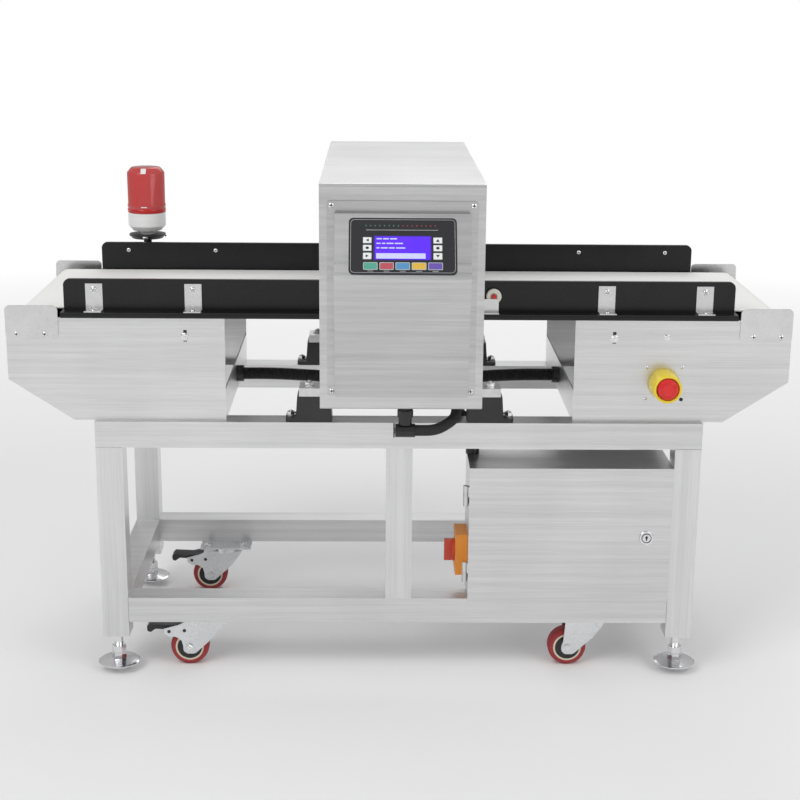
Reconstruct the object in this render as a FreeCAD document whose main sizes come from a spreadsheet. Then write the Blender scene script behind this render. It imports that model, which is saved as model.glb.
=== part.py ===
"""Conveyor metal detector: a tube frame on castors carries a short belt conveyor that runs through a
detector head. Millimetres, +X along the belt, +Y towards the back, +Z up; the origin is on the floor
under the middle of the whole machine."""

import FreeCAD
import Part
import math
import os
import Sketcher

from FreeCAD import Placement, Rotation, Vector

DIMENSIONS = {
    # frame
    "frame_length": 1140, "frame_depth": 506, "tube": 50, "tube_wall": 2.5, "leg_bottom": 76,
    "low_rail_z": 106.5, "deck_z": 458, "plug_height": 20, "vent_radius": 5,
    # castors
    "castor_x": 372, "castor_y": 197, "plate_length": 110, "plate_depth": 75, "plate_thickness": 4,
    "race_radius": 28, "race_height": 9.5, "crown_radius": 27, "fork_gap": 38, "fork_width": 44,
    "crown_thickness": 4, "trail": 37, "wheel_radius": 37.5, "wheel_width": 32, "hub_radius": 25,
    "axle_radius": 5, "kingpin_radius": 6, "running_gap": 0.06, "face_gap": 0.3, "pedal_width": 30,
    # levelling feet
    "foot_rise": 15.5, "foot_radius": 40, "stud_radius": 8, "stud_length": 126, "nut_radius": 13.8, "nut_height": 13,
    # housings at the two ends of the conveyor
    "housing_gap": 10, "sheet": 2.5, "housing_end": 728, "housing_start": 325, "housing_top": 703.5,
    "slope_x": 608.5, "slope_z": 586, "end_cover_top": 655, "angle_leg": 25, "bulkhead_height": 60,
    "nose_start": 631, "nose_low": 663.5, "nose_high": 726, "nose_thickness": 3, "nose_round": 9,
    # bed, guides and belt
    "strip_half_length": 626, "strip_gap": 5, "strip_height": 10, "belt_top": 715, "belt_width": 400,
    "belt_thickness": 2, "bed_thickness": 2.5, "bed_extra": 3, "guide_offset": 16,
    "guide_thickness": 8, "guide_half_length": 623.7, "guide_top": 771.2, "guide_round": 12,
    "bracket_width": 31.5, "bracket_height": 49.5, "bracket_sheet": 2, "bracket_inner_x": 384,
    "bracket_outer_x": 567,
    # rollers
    "roller_extra": 4, "shaft_radius": 8, "end_roller_radius": 22.5, "end_roller_x": 692,
    "drum_radius": 38, "drum_x": 495.5, "return_roller_radius": 35, "return_roller_x": 398,
    "return_roller_z": 670, "collar_radius": 14,
    # detector head
    "head_width": 289.5, "head_depth": 754, "head_bottom": 567.5, "head_height": 402, "head_wall": 3,
    "head_round": 5, "opening_width": 500, "opening_low": 680, "opening_high": 860,
    "liner_wall": 5, "bay_width": 230, "bay_low": 612, "bay_height": 312, "bay_depth": 80,
    "coil_section": 12, "coil_pitch": 90,
    # console on the front of the head
    "cover_width": 263, "cover_low": 593.5, "cover_height": 347, "cover_sheet": 3, "console_width": 234,
    "console_reach": 85, "console_top_reach": 20, "console_low_reach": 24, "console_top": 921,
    "crease_z": 818.5, "console_low": 596.5, "panel_width": 185, "panel_margin": 8.5,
    "panel_thickness": 1.5, "panel_round": 8,
    # head supports
    "mount_outer": 213.5, "mount_inner": 127, "mount_base": 8, "mount_shoulder": 194.5,
    "mount_top": 558.2, "mount_taper": 3, "bar_outer": 188, "bar_lip": 574,
    # cabinet
    "cabinet_left": 132, "cabinet_width": 384, "cabinet_height": 269, "cabinet_overhang": 20,
    "cabinet_depth": 126, "door_depth": 21, "door_gap": 1, "cabinet_sheet": 2, "cabinet_flange": 14,
    "hinge_radius": 5, "hinge_pin": 2.5, "hinge_half": 20, "hinge_low_z": 195.5, "hinge_high_z": 348,
    "hinge_offset": 6, "hinge_leaf": 24, "lock_x": 470, "lock_z": 288.5, "lock_radius": 10,
    "lock_flange": 14, "cam_gap": 5, "cam_width": 12, "cam_length": 44,
    # isolator
    "isolator_inset": 63, "isolator_z": 234.5, "isolator_width": 66, "isolator_height": 82,
    "isolator_depth": 22, "knob_radius": 22, "knob_depth": 20,
    # emergency stop
    "stop_x": 494, "stop_z": 582.5, "collar_flare": 4,
    "collar_outer": 31, "collar_inner": 25, "collar_length": 46, "button_radius": 20,
    "button_stem": 11, "stop_floor": 22, "button_out": 52, "button_height": 14,
    # beacon
    "beacon_x": 535, "beacon_y": 270, "beacon_radius": 40.5, "beacon_bracket_z": 781,
    "beacon_base_z": 789.5, "beacon_lens_z": 827.5, "beacon_top": 922.5, "beacon_plate": 3,
    "beacon_rod": 7, "beacon_leaf": 50, "beacon_disc": 9,
    # photo-eye and cables
    "eye_x": 173, "eye_z": 743.5, "eye_radius": 14, "hose_radius": 10, "conduit_radius": 12.5,
    "gland_radius": 12.5, "gland_x": 8.5, "gland_y": 337,
    "cable_inset": 81,
}

MID = "dims.console_reach / 2"  # the belt's centreline: the console makes the machine deeper in front
RAIL_TOP = "dims.deck_z + dims.tube"
BED_TOP = "dims.belt_top - dims.belt_thickness"
HEAD_TOP = "dims.head_bottom + dims.head_height"
HEAD_FRONT = f"{MID} - dims.head_depth / 2"
HOUSING_FACE = "(dims.opening_width / 2 - dims.housing_gap)"  # these six are from the centreline
STRIP_EDGE = "(dims.opening_width / 2 - dims.strip_gap)"
BED_EDGE = "(dims.belt_width / 2 + dims.bed_extra)"
GUIDE_FACE = "(dims.belt_width / 2 + dims.guide_offset)"
CABINET_FRONT = "(dims.frame_depth / 2 + dims.cabinet_overhang)"
CABINET_BACK = f"({CABINET_FRONT} - dims.cabinet_depth)"
TO_X = Rotation(Vector(0, 1, 0), 90)
TO_Y = Rotation(Vector(1, 0, 0), -90)
SIDES = {"left": -1, "right": 1}
ENDS = {"front": -1, "rear": 1}
ROUTE_SHARE = 0.45  # of the shorter neighbouring run, taken by each bend of a cable

doc = FreeCAD.newDocument("conveyor_metal_detector")
dims = doc.addObject("Spreadsheet::Sheet", "dims")
nodes = {}


def fill_sheet():
    """Writes each driving dimension to the sheet with its alias."""
    for row, (alias, value) in enumerate(DIMENSIONS.items(), 1):
        dims.set(f"A{row}", alias)
        dims.set(f"B{row}", str(value))
        dims.setAlias(f"B{row}", alias)
    doc.recompute()


def value(text):
    """The number that an expression over the sheet gives now."""
    return float(dims.evalExpression(text))


def node(label, item):
    """Names a finished sub-part, which is written to a file of that name."""
    item.Label = label
    nodes[label] = item
    return item


def move(item, at, turn=None):
    """Binds an item's position to three expressions, after an optional fixed rotation."""
    if turn:
        item.Placement = Placement(Vector(), turn)
    for axis, text in zip("xyz", at):
        item.setExpression(f"Placement.Base.{axis}", text)
    return item


def block(name, size, base):
    """A box of three size expressions, standing centred on the point base."""
    item = doc.addObject("Part::Box", name)
    for prop, text in zip(("Length", "Width", "Height"), size):
        item.setExpression(prop, text)
    length, width, _ = size
    return move(item, (f"{base[0]} - ({length}) / 2", f"{base[1]} - ({width}) / 2", base[2]))


def rod(name, radius, length, start, turn=None):
    """A cylinder from its start point along +Z, or along the axis that turn gives."""
    item = doc.addObject("Part::Cylinder", name)
    item.setExpression("Radius", radius)
    item.setExpression("Height", length)
    return move(item, start, turn)


def cut(name, base, tool):
    """The base without the tool."""
    item = doc.addObject("Part::Cut", name)
    item.Base, item.Tool = base, tool
    return item


def fuse(name, pieces):
    """Several overlapping or touching pieces as one solid."""
    item = doc.addObject("Part::MultiFuse", name)
    item.Shapes = pieces
    return item


def group(name, pieces):
    """Separate solids of one kind, kept together."""
    item = doc.addObject("Part::Compound", name)
    item.Links = pieces
    return item


def new_body(name, at=("0", "0", "0"), turn=None):
    """An empty body at a bound position."""
    return move(doc.addObject("PartDesign::Body", name), at, turn)


def new_sketch(body, role):
    """A sketch on one of the body's own origin planes."""
    sketch = body.newObject("Sketcher::SketchObject", f"{body.Name}_sketch")
    plane = next(item for item in body.Origin.OriginFeatures if item.Role == role)
    sketch.AttachmentSupport = [(plane, "")]
    sketch.MapMode = "FlatFace"
    return sketch


def outline(body, role, corners):
    """A closed outline whose corners are pairs of expressions, each held by two bound distances."""
    sketch = new_sketch(body, role)
    points = [(value(across), value(up)) for across, up in corners]
    for start, end in zip(points, points[1:] + points[:1]):
        sketch.addGeometry(Part.LineSegment(Vector(*start, 0), Vector(*end, 0)))
    for index in range(len(points)):
        sketch.addConstraint(Sketcher.Constraint("Coincident", index, 2, (index + 1) % len(points), 1))
    for index, (point, corner) in enumerate(zip(points, corners)):
        for kind, number, text in zip("XY", point, corner):
            key = sketch.addConstraint(Sketcher.Constraint(f"Distance{kind}", -1, 1, index, 1, number))
            sketch.renameConstraint(key, f"{kind.lower()}{index}")
            sketch.setExpression(f"Constraints.{kind.lower()}{index}", text)
    return sketch


def circles(body, role, centres, radius):
    """A sketch of equal circles with bound centres and radius."""
    sketch = new_sketch(body, role)
    for index, centre in enumerate(centres):
        spot = [value(text) for text in centre]
        sketch.addGeometry(Part.Circle(Vector(*spot, 0), Vector(0, 0, 1), value(radius)))
        for kind, number, text in zip("XY", spot, centre):
            key = sketch.addConstraint(Sketcher.Constraint(f"Distance{kind}", -1, 1, index, 3, number))
            sketch.renameConstraint(key, f"{kind.lower()}{index}")
            sketch.setExpression(f"Constraints.{kind.lower()}{index}", text)
        key = sketch.addConstraint(Sketcher.Constraint("Radius", index, value(radius)))
        sketch.renameConstraint(key, f"r{index}")
        sketch.setExpression(f"Constraints.r{index}", radius)
    return sketch


def extrude(body, kind, sketch, length):
    """A pad or a pocket of bound length, half to each side of the sketch."""
    item = body.newObject(f"PartDesign::{kind}", f"{body.Name}_{kind.lower()}")
    item.Profile = sketch
    item.SideType = "Symmetric"
    item.setExpression("Length", length)
    sketch.Visibility = False
    return item


def turned(name, profile, at=("0", "0", "0"), turn=None):
    """A body of revolution about its own Z from (radius, height) expressions."""
    body = new_body(name, at, turn)
    sketch = outline(body, "XZ_Plane", profile)
    item = body.newObject("PartDesign::Revolution", f"{name}_revolution")
    item.Profile = sketch
    item.ReferenceAxis = (sketch, ["V_Axis"])
    item.Angle = 360
    return body


def prism(name, role, corners, length, at=("0", "0", "0")):
    """A body of one outline, padded evenly to both sides of its plane."""
    body = new_body(name, at)
    extrude(body, "Pad", outline(body, role, corners), length)
    return body


def edges_along(shape, direction, keep):
    """Names of the shape's straight edges that run along a direction and pass the test keep."""
    names = []
    for number, edge in enumerate(shape.Edges, 1):
        if edge.Curve.TypeId != "Part::GeomLine":
            continue
        if abs(abs(edge.tangentAt(edge.FirstParameter).dot(direction)) - 1) < 1e-6:
            if keep(edge.CenterOfMass):
                names.append(f"Edge{number}")
    return names


def rounded(body, radius, direction, keep=lambda middle: True):
    """Rounds the chosen straight edges of a body's last feature."""
    doc.recompute()
    tip = body.Tip
    item = body.newObject("PartDesign::Fillet", f"{body.Name}_fillet")
    item.Base = (tip, edges_along(tip.Shape, direction, keep))
    item.setExpression("Radius", radius)
    return body


X, Y, Z = Vector(1, 0, 0), Vector(0, 1, 0), Vector(0, 0, 1)


# ---------------------------------------------------------------- frame

def make_frame():
    """Square-tube frame: legs, a front post, rails and the threaded plugs in the leg ends."""
    foot = [(side, end) for side in SIDES.values() for end in ENDS.values()]
    post_x = "(dims.frame_length - dims.tube) / 2"
    post_y = "(dims.frame_depth - dims.tube) / 2"
    bore = "dims.tube - 2 * dims.tube_wall"

    def upright(name, x, y, low):
        """A vertical tube from low to the top rails."""
        height = f"dims.deck_z - ({low})"
        outer = block(f"{name}_outer", ("dims.tube", "dims.tube", height), (x, y, low))
        inner = block(f"{name}_inner", (bore, bore, height), (x, y, low))
        return cut(name, outer, inner)

    legs = [upright(f"leg{number}", f"{sx} * {post_x}", f"{MID} + {sy} * {post_y}", "dims.leg_bottom")
            for number, (sx, sy) in enumerate(foot)]
    legs.append(upright("post", "0", f"{MID} - {post_y}", "dims.low_rail_z + dims.tube"))
    node("frame_legs", group("legs", legs))

    def long_rail(name, y, low, length, closed):
        """A rail along X; a closed one has capped ends and vents down into its legs."""
        outer = block(f"{name}_outer", (length, "dims.tube", "dims.tube"), ("0", y, low))
        hollow = f"{length} - 2 * dims.tube_wall" if closed else length
        tools = [block(f"{name}_inner", (hollow, bore, bore), ("0", y, f"{low} + dims.tube_wall"))]
        if closed:
            for side in SIDES.values():
                tools.append(rod(f"{name}_vent", "dims.vent_radius", "dims.tube / 2",
                                 (f"{side} * {post_x}", y, low)))
        return cut(name, outer, fuse(f"{name}_space", tools) if closed else tools[0])

    rails = []
    for end, sign in ENDS.items():
        y = f"{MID} + {sign} * {post_y}"
        rails.append(long_rail(f"top_{end}", y, "dims.deck_z", "dims.frame_length", True))
        rails.append(long_rail(f"low_{end}", y, "dims.low_rail_z", "dims.frame_length - 2 * dims.tube",
                               False))
    length = "dims.frame_depth - 2 * dims.tube"
    for side, sign in SIDES.items():
        for level in ("low_rail_z", "deck_z"):
            x = f"{sign} * {post_x}"
            outer = block(f"cross_{side}_{level}_outer", ("dims.tube", length, "dims.tube"),
                          (x, MID, f"dims.{level}"))
            inner = block(f"cross_{side}_{level}_inner", (bore, length, bore),
                          (x, MID, f"dims.{level} + dims.tube_wall"))
            rails.append(cut(f"cross_{side}_{level}", outer, inner))
    node("frame_rails", group("rails", rails))

    plugs = []
    for number, (sx, sy) in enumerate(foot):
        spot = (f"{sx} * {post_x}", f"{MID} + {sy} * {post_y}", "dims.leg_bottom")
        solid = block(f"plug{number}_block", (bore, bore, "dims.plug_height"), spot)
        hole = rod(f"plug{number}_hole", "dims.stud_radius + dims.running_gap", "dims.plug_height", spot)
        plugs.append(cut(f"plug{number}", solid, hole))
    node("leg_plugs", group("plugs", plugs))


# ---------------------------------------------------------------- castors and feet

def make_castor_plates():
    """The four top plates, each with the upper race of its swivel, bolted under the low rails."""
    plates = []
    for side, sx in SIDES.items():
        for end, sy in ENDS.items():
            name = f"plate_{end}_{side}"
            x, y = f"{sx} * dims.castor_x", f"{MID} + {sy} * dims.castor_y"
            low = "dims.low_rail_z - dims.plate_thickness"
            race = f"{low} - dims.race_height"
            sheet = block(f"{name}_sheet", ("dims.plate_length", "dims.plate_depth",
                                            "dims.plate_thickness"), (x, y, low))
            ring = rod(f"{name}_race", "dims.race_radius", "dims.race_height", (x, y, race))
            hole = rod(f"{name}_hole", "dims.kingpin_radius + dims.running_gap",
                       "dims.race_height + dims.plate_thickness", (x, y, race))
            plates.append(cut(name, fuse(f"{name}_whole", [sheet, ring]), hole))
    node("castor_plates", group("plates", plates))


def make_castor(corner, x, y, braked):
    """One swivelling castor: fork with kingpin and axle, wheel, and a brake pedal where it has one."""
    top = "dims.low_rail_z - dims.plate_thickness - dims.race_height - dims.face_gap"
    crown_low = f"{top} - dims.crown_thickness"
    axle = ("-dims.trail", "dims.wheel_radius")
    at = (x, y, "0")
    lobe = [("-dims.trail - 23", "84"), ("-dims.trail - 49", "78"), ("-dims.trail - 49", "68"),
            ("-dims.trail - 40", "61"), ("-dims.trail - 26", "61"), ("-dims.trail - 15", "53")]
    plain = [("-dims.trail - 9", "52")]
    cheek = [("dims.crown_radius + 7", top), ("-dims.trail - 5", top)] + (lobe if braked else plain)
    cheek += [("-dims.trail - 12", "dims.wheel_radius + 4"), ("-dims.trail - 12", "dims.wheel_radius - 12"),
              ("-dims.trail + 11", "dims.wheel_radius - 12"), ("dims.crown_radius - 14", "62")]
    fork = prism(f"fork_{corner}_body", "XZ_Plane", cheek, "dims.fork_width", at)
    gap = outline(fork, "XZ_Plane", [("-dims.trail - 70", "0"), ("dims.crown_radius + 20", "0"),
                                     ("dims.crown_radius + 20", crown_low),
                                     ("-dims.trail - 70", crown_low)])
    extrude(fork, "Pocket", gap, "dims.fork_gap")
    holes = [axle] + ([("-dims.trail - 39", "72")] if braked else [])
    extrude(fork, "Pocket", circles(fork, "XZ_Plane", holes[:1], "dims.axle_radius"),
            "dims.fork_width * 2")
    rounded(fork, "11", Y, lambda middle: middle.z < value("dims.wheel_radius - 11"))
    crown = rod(f"fork_{corner}_crown", "dims.crown_radius", "dims.crown_thickness", (x, y, crown_low))
    pin = rod(f"fork_{corner}_kingpin", "dims.kingpin_radius",
              f"dims.low_rail_z - dims.face_gap - ({crown_low})", (x, y, crown_low))
    pieces = [fork, crown, pin]
    if braked:
        pieces.append(rod(f"fork_{corner}_brake_pin", "3", "dims.fork_width",
                          (f"{x} - dims.trail - 39", f"{y} - dims.fork_width / 2", "72"), TO_Y))
    whole = fuse(f"fork_{corner}", pieces)
    head = "dims.axle_radius + 4"
    reach = "dims.fork_width / 2"
    profile = [("0", f"-{reach} - 4"), (head, f"-{reach} - 4"), (head, f"-{reach}"),
               ("dims.axle_radius", f"-{reach}"), ("dims.axle_radius", reach), (head, reach),
               (head, f"{reach} + 4"), ("0", f"{reach} + 4")]
    hub_at = (f"{x} - dims.trail", y, "dims.wheel_radius")
    bolt = turned(f"axle_{corner}", profile, hub_at, TO_Y)
    node(f"castor_fork_{corner}", group(f"castor_{corner}", [whole, bolt]))

    half = "dims.wheel_width / 2"
    bore = "dims.axle_radius + dims.running_gap"
    hub = turned(f"hub_{corner}", [
        (bore, f"-{half} - 2"), ("dims.axle_radius + 4", f"-{half} - 2"), ("dims.axle_radius + 5", "-7"),
        ("dims.hub_radius - 4", "-7"), ("dims.hub_radius - 3", f"-{half} + 1"),
        ("dims.hub_radius", f"-{half} + 1"), ("dims.hub_radius", f"{half} - 1"),
        ("dims.hub_radius - 3", f"{half} - 1"), ("dims.hub_radius - 4", "7"),
        ("dims.axle_radius + 5", "7"), ("dims.axle_radius + 4", f"{half} + 2"), (bore, f"{half} + 2")],
        hub_at, TO_Y)
    shoulder = "dims.wheel_radius - 5"
    tread = turned(f"tread_{corner}", [
        ("dims.hub_radius", f"-{half} + 1"), ("dims.hub_radius + 2", f"-{half}"), (shoulder, f"-{half}"),
        ("dims.wheel_radius - 1.5", f"-{half} + 3"), ("dims.wheel_radius", f"-{half} + 8"),
        ("dims.wheel_radius", f"{half} - 8"), ("dims.wheel_radius - 1.5", f"{half} - 3"),
        (shoulder, half), ("dims.hub_radius + 2", half), ("dims.hub_radius", f"{half} - 1")],
        hub_at, TO_Y)
    node(f"castor_wheel_{corner}", group(f"wheel_{corner}", [hub, tread]))

    if braked:
        pedal = prism(f"pedal_{corner}", "XZ_Plane", [
            ("-dims.trail + 12", "78"), ("-dims.trail + 12", "81"), ("-dims.trail - 36", "82"),
            ("-dims.trail - 78", "84"), ("-dims.trail - 83", "79"), ("-dims.trail - 82", "70"),
            ("-dims.trail - 76", "68"), ("-dims.trail - 66", "75"), ("-dims.trail - 47", "74"),
            ("-dims.trail - 43", "67"), ("-dims.trail - 35", "67"), ("-dims.trail - 31", "78")],
            "dims.pedal_width", at)
        spot = [("-dims.trail - 39", "72")]
        extrude(pedal, "Pocket", circles(pedal, "XZ_Plane", spot, "3 + dims.running_gap"),
                "dims.fork_width")
        node(f"castor_pedal_{corner}", pedal)


def make_castors():
    """Four castors trailing to the left; the left pair carries brakes."""
    make_castor_plates()
    for side, sx in SIDES.items():
        for end, sy in ENDS.items():
            make_castor(f"{end}_{side}", f"{sx} * dims.castor_x", f"{MID} + {sy} * dims.castor_y",
                        side == "left")


def make_feet():
    """Four levelling feet, raised off the floor while the machine stands on its castors."""
    for side, sx in SIDES.items():
        for end, sy in ENDS.items():
            corner = f"{end}_{side}"
            x, y = f"{sx} * (dims.frame_length - dims.tube) / 2", \
                f"{MID} + {sy} * (dims.frame_depth - dims.tube) / 2"
            stud = "dims.stud_radius"
            pad = turned(f"pad_{corner}", [
                ("0", "0"), ("dims.foot_radius", "0"), ("dims.foot_radius", "2"),
                ("dims.foot_radius - 3", "3.5"), ("dims.nut_radius + 1", "6.5"),
                ("dims.nut_radius - 1.5", "7"), (stud, "7"), (stud, "7 + dims.stud_length"),
                ("0", "7 + dims.stud_length")], (x, y, "dims.foot_rise"))
            pieces = [pad]
            for level in range(2):
                low = f"dims.foot_rise + 7 + {level} * (dims.nut_height + 0.5)"
                nut = doc.addObject("Part::Prism", f"nut_{corner}_{level}")
                nut.Polygon = 6
                nut.setExpression("Circumradius", "dims.nut_radius")
                nut.setExpression("Height", "dims.nut_height")
                move(nut, (x, y, low))
                hole = rod(f"nut_{corner}_{level}_hole", stud, "dims.nut_height", (x, y, low))
                pieces.append(cut(f"nut_{corner}_{level}_ring", nut, hole))
            node(f"levelling_foot_{corner}", group(f"foot_{corner}", pieces))


# ---------------------------------------------------------------- conveyor housings

def make_housings():
    """Side plates with a sloping lower corner, end covers, nose plates, angles and bulkheads."""
    plate_y = f"{HOUSING_FACE} - dims.sheet / 2"
    plates, noses = [], []
    for side, sx in SIDES.items():
        for end, sy in ENDS.items():
            plates.append(prism(f"housing_{end}_{side}", "XZ_Plane", [
                (f"{sx} * dims.housing_start", RAIL_TOP), (f"{sx} * dims.slope_x", RAIL_TOP),
                (f"{sx} * dims.housing_end", "dims.slope_z"),
                (f"{sx} * dims.housing_end", "dims.housing_top"),
                (f"{sx} * dims.housing_start", "dims.housing_top")],
                "dims.sheet", ("0", f"{MID} + {sy} * ({plate_y})", "0")))
            nose = prism(f"nose_{end}_{side}", "XZ_Plane", [
                (f"{sx} * dims.nose_start", "dims.nose_low"), (f"{sx} * dims.housing_end", "dims.nose_low"),
                (f"{sx} * dims.housing_end", "dims.nose_high"),
                (f"{sx} * dims.nose_start", "dims.nose_high")],
                "dims.nose_thickness",
                ("0", f"{MID} + {sy} * ({HOUSING_FACE} + dims.nose_thickness / 2)", "0"))
            noses.append(rounded(nose, "dims.nose_round", Y))
    node("housing_plates", group("side_plates", plates))
    node("nose_plates", group("noses", noses))

    inside = f"2 * ({HOUSING_FACE} - dims.sheet)"
    covers, walls, angles = [], [], []
    for side, sx in SIDES.items():
        covers.append(prism(f"end_cover_{side}", "XZ_Plane", [
            (f"{sx} * dims.slope_x", RAIL_TOP), (f"{sx} * dims.housing_end", "dims.slope_z"),
            (f"{sx} * dims.housing_end", "dims.end_cover_top"),
            (f"{sx} * (dims.housing_end - dims.sheet)", "dims.end_cover_top"),
            (f"{sx} * (dims.housing_end - dims.sheet)", "dims.slope_z + dims.sheet"),
            (f"{sx} * (dims.slope_x - dims.sheet)", f"{RAIL_TOP} + dims.sheet / 2"),
            (f"{sx} * (dims.slope_x - dims.sheet)", RAIL_TOP)], inside, ("0", MID, "0")))
        walls.append(block(f"bulkhead_{side}", ("dims.sheet", inside, "dims.bulkhead_height"),
                           (f"{sx} * (dims.housing_start + dims.sheet / 2)", MID, RAIL_TOP)))
        for end, sy in ENDS.items():
            length = "dims.strip_half_length - dims.housing_start - dims.sheet"
            middle = f"{sx} * (dims.strip_half_length + dims.housing_start + dims.sheet) / 2"
            face = f"{HOUSING_FACE} - dims.sheet"
            angles.append(prism(f"bearer_{end}_{side}", "YZ_Plane", [
                (f"{sy} * ({face})", "dims.housing_top"),
                (f"{sy} * ({face} - dims.angle_leg)", "dims.housing_top"),
                (f"{sy} * ({face} - dims.angle_leg)", "dims.housing_top - dims.sheet"),
                (f"{sy} * ({face} - dims.sheet)", "dims.housing_top - dims.sheet"),
                (f"{sy} * ({face} - dims.sheet)", "dims.housing_top - dims.angle_leg"),
                (f"{sy} * ({face})", "dims.housing_top - dims.angle_leg")],
                length, (middle, MID, "0")))
    node("end_covers", group("covers", covers))
    node("housing_braces", group("braces", angles + walls))


# ---------------------------------------------------------------- bed, guides and belt

def make_bed():
    """Edge strips, slider bed, the two side guides and their brackets."""
    strips, guides, brackets = [], [], []
    strip_y = f"({BED_EDGE} + {STRIP_EDGE}) / 2"
    for end, sy in ENDS.items():
        outer = f"({STRIP_EDGE} - {BED_EDGE}) / 2"
        strip = prism(f"strip_{end}", "YZ_Plane", [
            (f"{sy} * {outer}", "0"), (f"{sy} * {outer}", "dims.strip_height - 4"),
            (f"{sy} * ({outer} - 1.5)", "dims.strip_height - 4"),
            (f"{sy} * ({outer} - 1.5)", "dims.strip_height"), (f"-{sy} * {outer}", "dims.strip_height"),
            (f"-{sy} * {outer}", "0")], "2 * dims.strip_half_length",
            ("0", f"{MID} + {sy} * ({strip_y})", "dims.housing_top"))
        strips.append(strip)
        low = "dims.housing_top + dims.strip_height"
        guide = prism(f"guide_{end}", "XZ_Plane", [
            ("-dims.guide_half_length", low), ("dims.guide_half_length", low),
            ("dims.guide_half_length", "dims.guide_top"), ("-dims.guide_half_length", "dims.guide_top")],
            "dims.guide_thickness",
            ("0", f"{MID} + {sy} * ({GUIDE_FACE} - dims.guide_thickness / 2)", "0"))
        top = value("dims.guide_top")
        guides.append(rounded(guide, "dims.guide_round", Y, lambda middle: middle.z > top - 1))
        foot_y = f"{STRIP_EDGE} - 2"
        for spot in ("bracket_outer_x", "bracket_inner_x"):
            for side, sx in SIDES.items():
                brackets.append(prism(f"bracket_{end}_{side}_{spot}", "YZ_Plane", [
                    (f"{sy} * {GUIDE_FACE}", low),
                    (f"{sy} * ({foot_y})", low), (f"{sy} * ({foot_y})", f"{low} + dims.bracket_sheet"),
                    (f"{sy} * ({GUIDE_FACE} + dims.bracket_sheet)", f"{low} + dims.bracket_sheet"),
                    (f"{sy} * ({GUIDE_FACE} + dims.bracket_sheet)", f"{low} + dims.bracket_height"),
                    (f"{sy} * {GUIDE_FACE}", f"{low} + dims.bracket_height")],
                    "dims.bracket_width", (f"{sx} * dims.{spot}", MID, "0")))
    node("edge_strips", group("strips", strips))
    node("side_guides", group("guides", guides))
    node("guide_brackets", group("brackets", brackets))
    node("slider_bed", block("bed", ("2 * dims.strip_half_length", f"2 * {BED_EDGE}",
                                     "dims.bed_thickness"), ("0", MID, f"{BED_TOP} - dims.bed_thickness")))


def tangent_points(first, second):
    """Where a straight run leaves one pulley and meets the next.

    A pulley is (x, z, radius); a positive radius is passed clockwise, a negative one the other way.
    """
    (x1, z1, r1), (x2, z2, r2) = first, second
    span, heading = math.hypot(x2 - x1, z2 - z1), math.atan2(z2 - z1, x2 - x1)
    lean = math.asin((r1 - r2) / span)
    normal = heading + math.pi / 2 - lean
    along = Vector(math.cos(normal), 0, math.sin(normal))
    return Vector(x1, 0, z1) + along * r1, Vector(x2, 0, z2) + along * r2


def loop_wire(pulleys):
    """The closed wire that runs round every pulley in turn, going right along the top."""
    runs = [tangent_points(a, b) for a, b in zip(pulleys, pulleys[1:] + pulleys[:1])]
    edges = []
    for index, (start, end) in enumerate(runs):
        edges.append(Part.LineSegment(start, end).toShape())
        x, z, radius = pulleys[(index + 1) % len(pulleys)]
        leave = runs[(index + 1) % len(runs)][0]
        centre = Vector(x, 0, z)
        begin = math.atan2(end.z - z, end.x - x)
        finish = math.atan2(leave.z - z, leave.x - x)
        turn = (begin - finish) % (2 * math.pi) if radius > 0 else -((finish - begin) % (2 * math.pi))
        half = begin - turn / 2
        middle = centre + Vector(math.cos(half), 0, math.sin(half)) * abs(radius)
        edges.append(Part.Arc(end, middle, leave).toShape())
    return Part.Wire(edges)


def make_belt():
    """The belt: round both end rollers, under the drum and over the two return rollers."""
    thick, air = value("dims.belt_thickness"), value("dims.face_gap")
    end_x, end_r = value("dims.end_roller_x"), value("dims.end_roller_radius")
    end_z = value(f"{BED_TOP} - dims.end_roller_radius")
    low_z, low_x = value("dims.return_roller_z"), value("dims.return_roller_x")
    low_r, drum_r = value("dims.return_roller_radius"), value("dims.drum_radius")

    def pulleys(offset):
        """Every pulley with its radius grown or shrunk to one of the belt's two surfaces."""
        inside, outside = air + offset, -(low_r + air + thick - offset)
        return [(-end_x, end_z, end_r + offset), (end_x, end_z, end_r + offset),
                (value("dims.drum_x"), low_z, drum_r + inside), (low_x, low_z, outside),
                (-low_x, low_z, outside)]

    rings = [Part.Face(loop_wire(pulleys(offset))) for offset in (0, thick)]
    width = value("dims.belt_width")
    solid = rings[1].cut(rings[0]).extrude(Vector(0, width, 0))
    belt = doc.addObject("Part::Feature", "belt_loop")
    belt.Shape = solid.Solids[0] if solid.Solids else solid
    belt.Placement = Placement(Vector(0, value(MID) - width / 2, 0), Rotation())
    node("conveyor_belt", belt)


def roller(name, radius, x, height, crown):
    """A roller on its fixed shaft, with stepped ends; a crown makes the middle slightly larger."""
    half = "(dims.belt_width + dims.roller_extra) / 2"
    edge = f"{radius} - {crown}"
    return turned(name, [
        ("dims.shaft_radius + dims.running_gap", f"-{half} - 3"), ("dims.collar_radius", f"-{half} - 3"),
        ("dims.collar_radius", f"-{half}"), (f"{edge} - 1.5", f"-{half}"), (edge, f"-{half} + 1.5"),
        (radius, f"-{half} + 60"), (radius, f"{half} - 60"), (edge, f"{half} - 1.5"),
        (f"{edge} - 1.5", half), ("dims.collar_radius", half), ("dims.collar_radius", f"{half} + 3"),
        ("dims.shaft_radius + dims.running_gap", f"{half} + 3")], (x, MID, height), TO_Y)


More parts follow.
